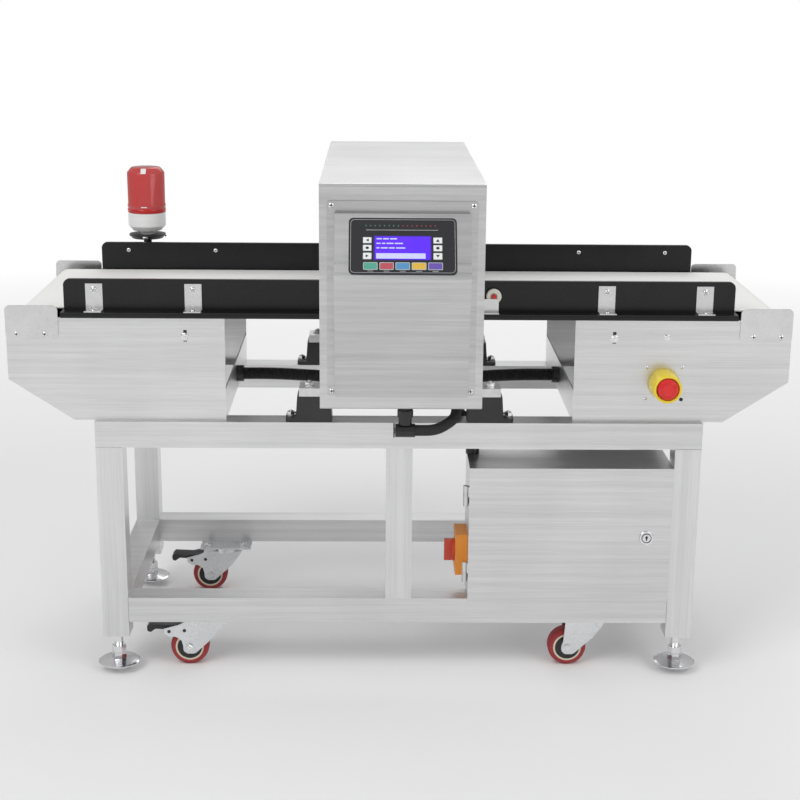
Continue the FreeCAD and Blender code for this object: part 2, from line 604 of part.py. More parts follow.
def make_rollers():
    """End rollers, the motorised drum, the return rollers and the fixed shafts that carry them."""
    end_r = "dims.end_roller_radius - dims.face_gap"
    places = {"drive_drum": ("dims.drum_x", "dims.return_roller_z", "dims.drum_radius", "1")}
    for side, sx in SIDES.items():
        places[f"end_roller_{side}"] = (f"{sx} * dims.end_roller_x",
                                        f"{BED_TOP} - dims.end_roller_radius", end_r, "0.5")
        places[f"return_roller_{side}"] = (f"{sx} * dims.return_roller_x", "dims.return_roller_z",
                                           "dims.return_roller_radius", "0")
    shafts = []
    for name, (x, height, radius, crown) in places.items():
        node(name, roller(f"{name}_body", radius, x, height, crown))
        span = f"2 * ({HOUSING_FACE} - dims.sheet)"
        shafts.append(rod(f"{name}_shaft", "dims.shaft_radius", span,
                          (x, f"{MID} - ({span}) / 2", height), TO_Y))
    node("roller_shafts", group("shafts", shafts))


# ---------------------------------------------------------------- detector head

def make_head():
    """Casing with its front bay, aperture liner, potting, coils and electronics."""
    casing = prism("casing", "YZ_Plane", [
        ("-dims.head_depth / 2", "dims.head_bottom"), ("dims.head_depth / 2", "dims.head_bottom"),
        ("dims.head_depth / 2", HEAD_TOP), ("-dims.head_depth / 2", HEAD_TOP)],
        "dims.head_width", ("0", MID, "0"))
    rounded(casing, "dims.head_round", X)
    inner_y = "dims.head_depth / 2 - dims.head_wall"
    low, high = "dims.head_bottom + dims.head_wall", f"{HEAD_TOP} - dims.head_wall"
    extrude(casing, "Pocket", outline(casing, "YZ_Plane", [
        (f"-({inner_y})", low), (inner_y, low), (inner_y, high), (f"-({inner_y})", high)]),
        "dims.head_width - 2 * dims.head_wall")
    window_y = "dims.opening_width / 2 + dims.liner_wall"
    window_low = "dims.opening_low - dims.liner_wall"
    window_high = "dims.opening_high + dims.liner_wall"
    extrude(casing, "Pocket", outline(casing, "YZ_Plane", [
        (f"-({window_y})", window_low), (window_y, window_low),
        (window_y, window_high), (f"-({window_y})", window_high)]), "dims.head_width * 2")
    bay = block("bay_cut", ("dims.bay_width", "4 * dims.head_wall", "dims.bay_height"),
                ("0", HEAD_FRONT, "dims.bay_low"))
    node("head_casing", cut("head_shell", casing, bay))

    outer_width, height = f"2 * ({window_y})", f"{window_high} - ({window_low})"
    tube = block("liner_outer", ("dims.head_width", outer_width, height), ("0", MID, window_low))
    space = block("liner_inner", ("dims.head_width", "dims.opening_width",
                                  "dims.opening_high - dims.opening_low"), ("0", MID, "dims.opening_low"))
    node("aperture_liner", cut("liner", tube, space))

    def ring(name, x):
        """One rectangular coil wound close around the liner."""
        size = "dims.coil_section"
        outside = block(f"{name}_outer", (size, f"{outer_width} + 2 * {size}", f"{height} + 2 * {size}"),
                        (x, MID, f"{window_low} - {size}"))
        inside = block(f"{name}_inner", (size, outer_width, height), (x, MID, window_low))
        return cut(name, outside, inside)

    coils = group("coils", [ring(f"coil{spot}", f"{spot} * dims.coil_pitch") for spot in (-1, 0, 1)])
    node("detector_coils", coils)
    room = "dims.head_width - 2 * dims.head_wall"
    depth = "dims.head_depth - 2 * dims.head_wall - dims.bay_depth"
    mass = block("potting_block", (room, depth, f"{high} - ({low})"),
                 ("0", f"{MID} + dims.bay_depth / 2", low))
    through = block("potting_through", (room, outer_width, height), ("0", MID, window_low))
    node("coil_potting", cut("potting", cut("potting_ring", mass, through), coils))

    wall = f"{HEAD_FRONT} + dims.head_wall + dims.bay_depth"
    board_y = f"{wall} - 12"
    board = block("board", ("180", "2", "240"), ("0", f"{board_y} - 1", "dims.bay_low + 36"))
    supply = block("supply", ("90", "30", "70"), ("0", f"{board_y} - 17", "dims.bay_low + 60"))
    parts = [fuse("board_whole", [board, supply])]
    for side in SIDES.values():
        for level in ("50", "262"):
            parts.append(rod("board_post", "4", "12", (f"{side} * 80", board_y,
                                                       f"dims.bay_low + {level}"), TO_Y))
    node("detector_electronics", group("electronics", parts))


def make_console():
    """The removable front cover with its wedge-shaped console, and the membrane panel on its slope."""
    face = f"-dims.head_depth / 2"
    plate = f"{face} - dims.cover_sheet"
    body = new_body("cover", ("0", MID, "0"))
    extrude(body, "Pad", outline(body, "YZ_Plane", [
        (face, "dims.cover_low"), (face, "dims.cover_low + dims.cover_height"),
        (plate, "dims.cover_low + dims.cover_height"), (plate, "dims.cover_low")]), "dims.cover_width")
    rounded(body, "6", Y)
    reach = {spot: f"{face} - dims.{spot}" for spot in
             ("console_top_reach", "console_reach", "console_low_reach")}
    extrude(body, "Pad", outline(body, "YZ_Plane", [
        (plate, "dims.console_low"), (reach["console_low_reach"], "dims.console_low"),
        (reach["console_reach"], "dims.crease_z"), (reach["console_top_reach"], "dims.console_top"),
        (plate, "dims.console_top")]), "dims.console_width")
    skin = "dims.cover_sheet"
    extrude(body, "Pocket", outline(body, "YZ_Plane", [
        (face, f"dims.console_low + {skin}"),
        (f"{reach['console_low_reach']} + {skin}", f"dims.console_low + {skin}"),
        (f"{reach['console_reach']} + 1.3 * {skin}", "dims.crease_z"),
        (f"{reach['console_top_reach']} + {skin}", f"dims.console_top - {skin}"),
        (face, f"dims.console_top - {skin}")]), f"dims.console_width - 2 * {skin}")
    node("console_cover", body)

    drop, out = "(dims.console_top - dims.crease_z)", "(dims.console_reach - dims.console_top_reach)"
    slope = f"atan({out} / {drop})"
    share = f"(dims.panel_margin / sqrt({drop} * {drop} + {out} * {out}))"
    lift_y, lift_z = f"dims.panel_thickness * cos({slope})", f"dims.panel_thickness * sin({slope})"
    top_y = f"{face} - dims.console_top_reach - {share} * {out}"
    top_z = f"dims.console_top - {share} * {drop}"
    low_y = f"{face} - dims.console_reach + {share} * {out}"
    low_z = f"dims.crease_z + {share} * {drop}"
    panel = prism("panel", "YZ_Plane", [
        (low_y, low_z), (top_y, top_z), (f"{top_y} - {lift_y}", f"{top_z} + {lift_z}"),
        (f"{low_y} - {lift_y}", f"{low_z} + {lift_z}")], "dims.panel_width", ("0", MID, "0"))
    lean = math.radians(value(slope)) if value(slope) > 2 else value(slope)
    rounded(panel, "dims.panel_round", Vector(0, -math.cos(lean), math.sin(lean)))
    node("control_panel", panel)


def make_head_mounts():
    """Four cast feet on the top rails and the two stepped bars across them, in which the head sits."""
    feet, bars = [], []
    for side, sx in SIDES.items():
        for end, sy in ENDS.items():
            spot = f"{MID} + {sy} * (dims.frame_depth - dims.tube) / 2"
            base = f"{RAIL_TOP} + dims.mount_base"
            foot = prism(f"mount_{end}_{side}", "XZ_Plane", [
                (f"{sx} * dims.mount_outer", RAIL_TOP), (f"{sx} * dims.mount_inner", RAIL_TOP),
                (f"{sx} * dims.mount_inner", base),
                (f"{sx} * (dims.mount_inner + dims.mount_taper)", "dims.mount_top"),
                (f"{sx} * (dims.mount_shoulder - dims.mount_taper)", "dims.mount_top"),
                (f"{sx} * dims.mount_shoulder", base), (f"{sx} * dims.mount_outer", base)],
                "dims.tube - 2", ("0", spot, "0"))
            edge = value("dims.mount_outer") - 1
            feet.append(rounded(foot, "10", Z, lambda middle: abs(middle.x) > edge))
    step = "dims.head_width / 2"
    for end, sy in ENDS.items():
        bars.append(prism(f"bar_{end}", "XZ_Plane", [
            ("-dims.bar_outer", "dims.mount_top"), ("dims.bar_outer", "dims.mount_top"),
            ("dims.bar_outer", "dims.bar_lip"), (step, "dims.bar_lip"), (step, "dims.head_bottom"),
            (f"-{step}", "dims.head_bottom"), (f"-{step}", "dims.bar_lip"),
            ("-dims.bar_outer", "dims.bar_lip")], "dims.tube",
            ("0", f"{MID} + {sy} * (dims.frame_depth - dims.tube) / 2", "0")))
    node("head_mount_feet", group("mount_feet", feet))
    node("head_mount_bars", group("mount_bars", bars))


# ---------------------------------------------------------------- cables

def cable(name, radius, points):
    """A round cable along straight runs joined by tangent arcs."""
    spots = [Vector(*[value(text) for text in point]) for point in points]
    edges, last = [], spots[0]
    for before, here, after in zip(spots, spots[1:], spots[2:]):
        back, ahead = (before - here).normalize(), (after - here).normalize()
        turn = math.pi - back.getAngle(ahead)
        shorter = min((before - here).Length, (after - here).Length)
        reach = ROUTE_SHARE * shorter
        bend = reach / math.tan(turn / 2)
        print(f"{name}: bend radius {bend:.0f}")
        start, end = here + back * reach, here + ahead * reach
        bisector = (back + ahead).normalize()
        middle = here + bisector * (bend / math.cos(turn / 2) - bend)
        edges += [Part.LineSegment(last, start).toShape(), Part.Arc(start, middle, end).toShape()]
        last = end
    edges.append(Part.LineSegment(last, spots[-1]).toShape())
    route = Part.Wire(edges)
    heading = spots[1] - spots[0]
    ring = Part.Wire(Part.Circle(spots[0], heading, value(radius)).toShape())
    tube = route.makePipeShell([ring], True, False)
    print(f"{name}: length {route.Length:.1f}, volume over section times length "
          f"{tube.Volume / (math.pi * value(radius) ** 2 * route.Length):.5f}")
    item = doc.addObject("Part::Feature", f"{name}_tube")
    item.Shape = tube
    return node(name, item)


def make_cables():
    """The head's cable to the cabinet, the conduit between the housings, and their glands."""
    front = f"{MID} - dims.gland_y"
    back = f"{MID} - dims.frame_depth / 2 + dims.cable_inset"
    drop = "dims.head_bottom - 50"
    cabinet_top = f"{RAIL_TOP} - dims.tube - 32.5"
    cable("head_cable", "dims.hose_radius", [
        ("dims.gland_x + 18", front, drop), ("dims.gland_x + 56", front, drop),
        ("dims.gland_x + 92", f"{front} + 26", f"{drop} + 14"),
        ("dims.gland_x + 98", f"{front} + 72", f"{drop} + 26"),
        ("dims.gland_x + 94", f"{front} + 122", f"{drop} + 22"),
        ("dims.gland_x + 104", f"{back} - 6", f"{drop} - 6"),
        ("dims.gland_x + 134", back, f"{drop} - 36"), ("dims.gland_x + 134", back, f"{cabinet_top} + 14")])
    gate = "dims.housing_start - 14"
    level = f"{RAIL_TOP} + 32"
    cable("housing_conduit", "dims.conduit_radius", [
        (f"-({gate})", MID, level), ("-240", MID, level), ("-90", MID, f"{level} - 9"),
        ("90", MID, f"{level} - 9"), ("240", MID, level), (gate, MID, level)])
    ring = "dims.gland_radius"
    elbow = turned("elbow_drop", [("0", "0"), (ring, "0"), (ring, "14"), (f"{ring} + 2", "14"),
                                  (f"{ring} + 2", "26"), (ring, "30"), (ring, "38"), ("0", "38")],
                   ("dims.gland_x", front, f"{drop} + 12"))
    nose = rod("elbow_nose", ring, "36", ("dims.gland_x - 18", front, drop), TO_X)
    pieces = [fuse("elbow", [elbow, nose])]
    for side, sx in SIDES.items():
        start = gate if sx > 0 else "-dims.housing_start"
        pieces.append(rod(f"conduit_gland_{side}", "dims.conduit_radius + 4", "14",
                          (start, MID, level), TO_X))
    pieces.append(rod("cabinet_gland", "dims.hose_radius + 3", "14",
                      ("dims.gland_x + 134", back, cabinet_top)))
    node("cable_glands", group("glands", pieces))


# ---------------------------------------------------------------- cabinet and switches

def make_cabinet():
    """Control cabinet on the low rail: flanged box, pan door on lift-off hinges, lock, inner plate."""
    width, height = "dims.cabinet_width", "dims.cabinet_height"
    middle = "dims.cabinet_left + dims.cabinet_width / 2"
    low = "dims.low_rail_z + dims.tube"
    front = f"{MID} - {CABINET_FRONT} + dims.door_depth + dims.door_gap"
    depth = "dims.cabinet_depth - dims.door_depth - dims.door_gap"
    sheet, rim = "dims.cabinet_sheet", "dims.cabinet_flange"
    outer = block("cabinet_outer", (width, depth, height), (middle, f"{front} + ({depth}) / 2", low))
    inner = block("cabinet_inner", (f"{width} - 2 * {sheet}", f"{depth} - 2 * {sheet}",
                                    f"{height} - 2 * {sheet}"),
                  (middle, f"{front} + ({depth}) / 2", f"{low} + {sheet}"))
    mouth = block("cabinet_mouth", (f"{width} - 2 * {rim}", f"4 * {sheet}", f"{height} - 2 * {rim}"),
                  (middle, front, f"{low} + {rim}"))
    node("cabinet_body", cut("cabinet_box", outer, fuse("cabinet_space", [inner, mouth])))

    door_y = f"{MID} - {CABINET_FRONT}"
    skin = block("door_outer", (width, "dims.door_depth", height),
                 (middle, f"{door_y} + dims.door_depth / 2", low))
    pan = block("door_inner", (f"{width} - 2 * {sheet}", "dims.door_depth", f"{height} - 2 * {sheet}"),
                (middle, f"{door_y} + dims.door_depth / 2 + {sheet}", f"{low} + {sheet}"))
    hole = rod("door_hole", "dims.lock_radius + dims.running_gap", f"3 * {sheet}",
               ("dims.lock_x", f"{door_y} - {sheet}", "dims.lock_z"), TO_Y)
    shell = cut("door_shell", cut("door_pan", skin, pan), hole)

    hinge_x = "dims.cabinet_left - dims.hinge_offset"
    hinge_y = f"{door_y} + dims.door_depth / 2"
    leaves, knuckles = [shell], []
    for number, spot in enumerate(("hinge_low_z", "hinge_high_z")):
        fixed = rod(f"knuckle{number}_low", "dims.hinge_radius", "dims.hinge_half",
                    (hinge_x, hinge_y, f"dims.{spot}"))
        pin = rod(f"knuckle{number}_pin", "dims.hinge_pin", "2 * dims.hinge_half",
                  (hinge_x, hinge_y, f"dims.{spot}"))
        web = block(f"knuckle{number}_web", (sheet, "dims.door_depth / 2 + 4", "dims.hinge_half"),
                    (f"dims.cabinet_left - {sheet}", f"{hinge_y} + dims.door_depth / 4 + 2",
                     f"dims.{spot}"))
        leaf = block(f"knuckle{number}_leaf", (sheet, "dims.hinge_leaf", "dims.hinge_half"),
                     (f"dims.cabinet_left - {sheet} / 2", f"{front} + dims.hinge_leaf / 2",
                      f"dims.{spot}"))
        knuckles.append(fuse(f"knuckle{number}", [fixed, pin, web, leaf]))
        high = f"dims.{spot} + dims.hinge_half + dims.face_gap"
        length = "dims.hinge_half - dims.face_gap"
        barrel = rod(f"barrel{number}", "dims.hinge_radius", length, (hinge_x, hinge_y, high))
        flap = block(f"flap{number}", (sheet, "dims.door_depth / 2", length),
                     (f"dims.cabinet_left - {sheet} / 2", f"{hinge_y} - dims.door_depth / 4", high))
        leaves += [barrel, flap]
    pivots = group("hinge_bores", [rod(f"bore{number}", "dims.hinge_pin + dims.running_gap",
                                       "2 * dims.hinge_half", (hinge_x, hinge_y, f"dims.{spot}"))
                                   for number, spot in enumerate(("hinge_low_z", "hinge_high_z"))])
    node("cabinet_door", cut("door", fuse("door_leaves", leaves), pivots))
    node("cabinet_hinges", group("hinges", knuckles))

    tail = f"dims.door_depth + dims.door_gap + 2 * {sheet} + dims.cam_gap + 2"
    barrel = turned("lock_body", [
        ("0", "-2.5"), ("dims.lock_flange - 1", "-2.5"), ("dims.lock_flange", "-0.3"),
        ("dims.lock_radius", "-0.3"), ("dims.lock_radius", f"{sheet} + 6"),
        ("6", f"{sheet} + 6"), ("6", tail), ("0", tail)], ("dims.lock_x", door_y, "dims.lock_z"), TO_Y)
    cam = block("lock_cam", ("dims.cam_width", sheet, "dims.cam_length"),
                ("dims.lock_x", f"{front} + 1.5 * {sheet} + dims.cam_gap",
                 "dims.lock_z - dims.cam_width / 2 - 2"))
    node("door_lock", fuse("lock", [barrel, cam]))

    back = f"{MID} - {CABINET_BACK} - {sheet}"
    plate = block("inner_plate", ("320", "2", "205"), (middle, f"{back} - 11", f"{low} + 32"))
    parts = [plate]
    for side in SIDES.values():
        for level in ("42", "227"):
            parts.append(rod("inner_post", "5", "10", (f"{middle} + {side} * 150", f"{back} - 10",
                                                       f"{low} + {level}"), TO_Y))
    for number, (shift, wide, tall) in enumerate((("-85", "80", "130"), ("30", "60", "90"),
                                                  ("110", "50", "110"))):
        parts.append(block(f"module{number}", (wide, "50", tall),
                           (f"{middle} + {shift}", f"{back} - 37", f"{low} + 75")))
    node("cabinet_equipment", group("equipment", parts))


def make_isolator():
    """Rotary isolator on the cabinet's left wall, turning about X."""
    left = "dims.cabinet_left"
    y = f"{MID} - dims.frame_depth / 2 + dims.isolator_inset"
    case = block("isolator_case", ("dims.isolator_depth", "dims.isolator_width", "dims.isolator_height"),
                 (f"{left} - dims.isolator_depth / 2", y, "dims.isolator_z - dims.isolator_height / 2"))
    hole = rod("isolator_hole", "6 + dims.running_gap", "12",
               (f"{left} - dims.isolator_depth - 1", y, "dims.isolator_z"), TO_X)
    node("isolator_base", cut("isolator_box", case, hole))
    face = f"{left} - dims.isolator_depth - dims.face_gap"
    disc = turned("knob_disc", [
        ("0", "-9"), ("6", "-9"), ("6", "0"), ("dims.knob_radius", "0"), ("dims.knob_radius", "5"),
        ("dims.knob_radius - 1.5", "6.5"), ("0", "6.5")],
        (face, y, "dims.isolator_z"), Rotation(Vector(0, 1, 0), -90))
    grip = block("knob_grip", ("dims.knob_depth", "11", "2 * dims.knob_radius - 2"),
                 (f"{face} - dims.knob_depth / 2", y, "dims.isolator_z - dims.knob_radius + 1"))
    node("isolator_knob", fuse("knob", [disc, grip]))


def make_stop():
    """Emergency stop: base and open collar, sliding stem and turning mushroom."""
    face = f"{MID} - {HOUSING_FACE}"
    centre = ("dims.stop_x", face, "dims.stop_z")
    away = Rotation(Vector(1, 0, 0), 90)
    askew = away.multiply(Rotation(Vector(0, 0, 1), 45))
    well = turned("stop_well", [
        ("dims.button_stem / 2", "0"), ("dims.collar_outer + dims.collar_flare", "0"),
        ("dims.collar_outer", "dims.collar_length"), ("dims.collar_inner", "dims.collar_length"),
        ("dims.collar_inner", "dims.stop_floor"), ("dims.button_stem / 2", "dims.stop_floor")],
        centre, askew)
    bore = rod("stop_bore", "dims.button_stem + dims.running_gap", "dims.stop_floor + 2",
               ("dims.stop_x", f"{face} - dims.stop_floor - 1", "dims.stop_z"), TO_Y)
    slots = group("stop_slots", [
        block("stop_slot_low", ("26", "14", "2 * dims.collar_outer"),
              ("dims.stop_x", f"{face} - dims.collar_length + 3", "dims.stop_z - dims.collar_outer")),
        block("stop_slot_side", ("2 * dims.collar_outer + 12", "14", "26"),
              ("dims.stop_x", f"{face} - dims.collar_length + 3", "dims.stop_z - 13"))])
    node("stop_collar", cut("stop_guard", cut("stop_bored", well, bore), slots))
    neck = "dims.button_out - dims.button_height"
    stem = turned("stop_stem", [("0", "6"), ("dims.button_stem", "6"), ("dims.button_stem", f"{neck} - 6"),
                                ("7", f"{neck} - 6"), ("7", neck), ("0", neck)], centre, away)
    node("stop_stem", stem)
    cap = turned("stop_cap", [
        ("7 + dims.running_gap", f"{neck} - 4"), ("dims.button_radius - 5", f"{neck} - 2"),
        ("dims.button_radius", f"{neck} + 3"), ("dims.button_radius", f"{neck} + 8"),
        ("dims.button_radius - 3", f"{neck} + 12"), ("dims.button_radius - 9", "dims.button_out"),
        ("0", "dims.button_out"), ("0", f"{neck} + dims.face_gap"),
        ("7 + dims.running_gap", f"{neck} + dims.face_gap")], centre, away)
    node("stop_button", cap)


def make_beacon():
    """Alarm beacon behind the left end of the conveyor, on a bent bracket."""
    x, y = "-dims.beacon_x", f"{MID} + dims.beacon_y"
    wall = f"{MID} + {HOUSING_FACE}"
    shelf = "dims.housing_top - dims.strip_height"
    bend = prism("bracket_bend", "YZ_Plane", [
        (wall, f"{shelf} - dims.beacon_leaf"), (f"{wall} + dims.beacon_plate", f"{shelf} - dims.beacon_leaf"),
        (f"{wall} + dims.beacon_plate", f"{shelf} - dims.beacon_plate"),
        (f"{y} + 2 * dims.beacon_rod", f"{shelf} - dims.beacon_plate"),
        (f"{y} + 2 * dims.beacon_rod", shelf), (wall, shelf)], "4 * dims.beacon_rod", (x, "0", "0"))
    post = turned("bracket_post", [
        ("0", f"{shelf} - dims.beacon_plate"), ("dims.beacon_rod", f"{shelf} - dims.beacon_plate"),
        ("dims.beacon_rod", "dims.beacon_bracket_z - dims.beacon_disc"),
        ("dims.beacon_radius - 8", "dims.beacon_bracket_z - dims.beacon_disc"),
        ("dims.beacon_radius - 2", "dims.beacon_bracket_z - 2"),
        ("dims.beacon_radius - 2", "dims.beacon_bracket_z"), ("0", "dims.beacon_bracket_z")], (x, y, "0"))
    node("beacon_bracket", fuse("bracket", [bend, post]))
    node("beacon_base", turned("beacon_foot", [
        ("0", "dims.beacon_bracket_z"), ("16", "dims.beacon_bracket_z"), ("16", "dims.beacon_base_z - 2"),
        ("dims.beacon_radius - 10", "dims.beacon_base_z"),
        ("dims.beacon_radius - 1", "dims.beacon_base_z + 10"),
        ("dims.beacon_radius - 1", "dims.beacon_lens_z"), ("0", "dims.beacon_lens_z")], (x, y, "0")))
    node("beacon_lens", turned("beacon_dome", [
        ("0", "dims.beacon_lens_z"), ("dims.beacon_radius", "dims.beacon_lens_z"),
        ("dims.beacon_radius", "dims.beacon_lens_z + 6"),
        ("dims.beacon_radius - 1.5", "dims.beacon_lens_z + 8"),
        ("dims.beacon_radius - 3", "dims.beacon_top - 10"), ("dims.beacon_radius - 11", "dims.beacon_top"),
        ("0", "dims.beacon_top")], (x, y, "0")))


def make_eye():
    """Photo-eye on the front guide, beside the head, and the bracket that holds it."""
    low = "dims.housing_top + dims.strip_height"
    face = f"{MID} - {GUIDE_FACE}"
    node("photo_eye", turned("eye_body", [
        ("0", "0"), ("9", "0"), ("9", "4"), ("dims.eye_radius", "4"), ("dims.eye_radius", "9"),
        ("dims.eye_radius - 1.5", "10"), ("0", "10")],
        ("dims.eye_x", face, "dims.eye_z"), Rotation(Vector(1, 0, 0), 90)))
    front = f"{face} - 12"
    node("photo_eye_bracket", prism("eye_bracket", "YZ_Plane", [
        (face, low), (f"{front} - 14", low), (f"{front} - 14", f"{low} + dims.bracket_sheet"),
        (front, f"{low} + dims.bracket_sheet"), (front, f"{low} + 26"),
        (f"{front} + dims.bracket_sheet", f"{low} + 26"),
        (f"{front} + dims.bracket_sheet", f"{low} + dims.bracket_sheet"),
        (face, f"{low} + dims.bracket_sheet")], "28", ("dims.eye_x - 5", "0", "0")))


def write_parts():
    """Checks every object, then writes each sub-part to its own file."""
    for item in doc.Objects:
        if {"Invalid", "Error"} & set(item.State):
            raise RuntimeError(f"{item.Label}: {item.State}")
    for label, item in nodes.items():
        if item.Shape.isNull() or not item.Shape.isValid() or not item.Shape.Solids:
            raise RuntimeError(f"{label} has no valid solid")
    os.makedirs("parts", exist_ok=True)
    for label, item in nodes.items():
        item.Shape.exportStep(f"parts/{label}.step")
    print(len(nodes), "nodes written")


fill_sheet()
make_frame()
make_castors()
make_feet()
make_housings()
make_bed()
make_belt()
make_rollers()
make_head()
make_console()
make_head_mounts()
make_cables()
make_cabinet()
make_isolator()
make_stop()
make_beacon()
make_eye()
doc.recompute()
write_parts()
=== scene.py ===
"""Looks of the conveyor metal detector: finishes, small fittings, studio, lamps and camera."""

import logging
import math
from collections.abc import Iterable, Sequence
from dataclasses import dataclass
from enum import Enum

import bmesh
import bpy
from mathutils import Matrix, Vector

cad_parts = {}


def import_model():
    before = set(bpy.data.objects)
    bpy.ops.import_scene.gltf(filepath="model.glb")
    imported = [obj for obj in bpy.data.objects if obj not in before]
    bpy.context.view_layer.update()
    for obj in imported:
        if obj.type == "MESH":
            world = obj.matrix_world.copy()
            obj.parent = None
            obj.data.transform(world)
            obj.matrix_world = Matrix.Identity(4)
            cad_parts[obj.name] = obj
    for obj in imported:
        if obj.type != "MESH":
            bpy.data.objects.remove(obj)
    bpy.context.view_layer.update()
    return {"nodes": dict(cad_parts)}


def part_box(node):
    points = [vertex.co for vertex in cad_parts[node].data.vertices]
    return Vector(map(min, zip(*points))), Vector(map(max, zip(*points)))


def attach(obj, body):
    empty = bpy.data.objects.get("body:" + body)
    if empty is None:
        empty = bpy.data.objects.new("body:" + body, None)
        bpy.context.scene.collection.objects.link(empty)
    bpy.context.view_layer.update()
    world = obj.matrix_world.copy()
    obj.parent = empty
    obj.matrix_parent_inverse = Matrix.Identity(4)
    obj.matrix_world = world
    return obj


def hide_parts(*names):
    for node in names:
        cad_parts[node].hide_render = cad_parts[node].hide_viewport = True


logging.basicConfig(level=logging.INFO, format="%(message)s")
LOG = logging.getLogger("detector")

Point = tuple[float, float, float]
Colour = tuple[float, float, float]

MM = 0.001
FULL_TURN = 2 * math.pi
MERGE = 2e-6
SHARP_ANGLE = math.radians(38)


class Axis(Enum):
    """The direction in which a turned form points."""

    UP = (0.0, 0.0, 1.0)
    DOWN = (0.0, 0.0, -1.0)
    FRONT = (0.0, -1.0, 0.0)
    BACK = (0.0, 1.0, 0.0)
    LEFT = (-1.0, 0.0, 0.0)
    RIGHT = (1.0, 0.0, 0.0)


class Grain(Enum):
    """How a brushed grain is stretched: the short direction has the large number."""

    ALONG_X = (3.0, 260.0, 260.0)
    ALONG_Y = (260.0, 3.0, 260.0)
    ALONG_Z = (260.0, 260.0, 3.0)
    NONE = (90.0, 90.0, 90.0)


# ---------------------------------------------------------------- shared effects


def new_group(name: str, inputs: Sequence[tuple[str, str]], outputs: Sequence[tuple[str, str]]):
    """Starts a shader node group with named sockets.

    Args:
        name: The group's name.
        inputs: Pairs of a socket's name and its type.
        outputs: Pairs of a socket's name and its type.

    Returns:
        The tree, its input node and its output node.
    """
    tree = bpy.data.node_groups.new(name, "ShaderNodeTree")
    for label, kind in inputs:
        tree.interface.new_socket(label, in_out="INPUT", socket_type=kind)
    for label, kind in outputs:
        tree.interface.new_socket(label, in_out="OUTPUT", socket_type=kind)
    return tree, tree.nodes.new("NodeGroupInput"), tree.nodes.new("NodeGroupOutput")


def noise(tree, vector, scale: float, detail: float, roughness: float = 0.55):
    """Adds a noise texture that reads the given vector socket.

    Args:
        tree: The node tree that gets it.
        vector: The socket with the coordinates.
        scale: Size of the pattern, larger is finer.
        detail: Octaves.
        roughness: Weight of the finer octaves.

    Returns:
        The noise node.
    """
    made = tree.nodes.new("ShaderNodeTexNoise")
    made.inputs["Scale"].default_value = scale
    made.inputs["Detail"].default_value = detail
    made.inputs["Roughness"].default_value = roughness
    tree.links.new(vector, made.inputs["Vector"])
    return made


def spread(tree, source, low: float, high: float, from_low: float = 0.3, from_high: float = 0.7):
    """Maps a value from the middle of a noise to a range.

    Args:
        tree: The node tree that gets it.
        source: The socket with the value.
        low: Result at from_low.
        high: Result at from_high.
        from_low: Start of the range read.
        from_high: End of the range read.

    Returns:
        The socket with the result.
    """
    made = tree.nodes.new("ShaderNodeMapRange")
    for key, number in (("From Min", from_low), ("From Max", from_high), ("To Min", low), ("To Max", high)):
        made.inputs[key].default_value = number
    tree.links.new(source, made.inputs["Value"])
    return made.outputs["Result"]


def arithmetic(tree, operation: str, first, second):
    """Adds a Math node over two sockets or numbers.

    Args:
        tree: The node tree that gets it.
        operation: Name of the operation.
        first: A socket or a number.
        second: A socket or a number.

    Returns:
        The socket with the result.
    """
    made = tree.nodes.new("ShaderNodeMath")
    made.operation = operation
    for index, item in enumerate((first, second)):
        if isinstance(item, (int, float)):
            made.inputs[index].default_value = item
        else:
            tree.links.new(item, made.inputs[index])
    return made.outputs[0]


def blend_colours(tree, factor, first, second):
    """Mixes two colours by a factor.

    Args:
        tree: The node tree that gets it.
        factor: The socket with the share of the second colour.
        first: A socket or a colour.
        second: A socket or a colour.

    Returns:
        The socket with the result.
    """
    made = tree.nodes.new("ShaderNodeMix")
    made.data_type = "RGBA"
    tree.links.new(factor, made.inputs["Factor"])
    for name, item in (("A", first), ("B", second)):
        socket = next(s for s in made.inputs if s.name == name and s.type == "RGBA")
        if isinstance(item, tuple):
            socket.default_value = (*item, 1.0)
        else:
            tree.links.new(item, socket)
    return next(s for s in made.outputs if s.type == "RGBA")


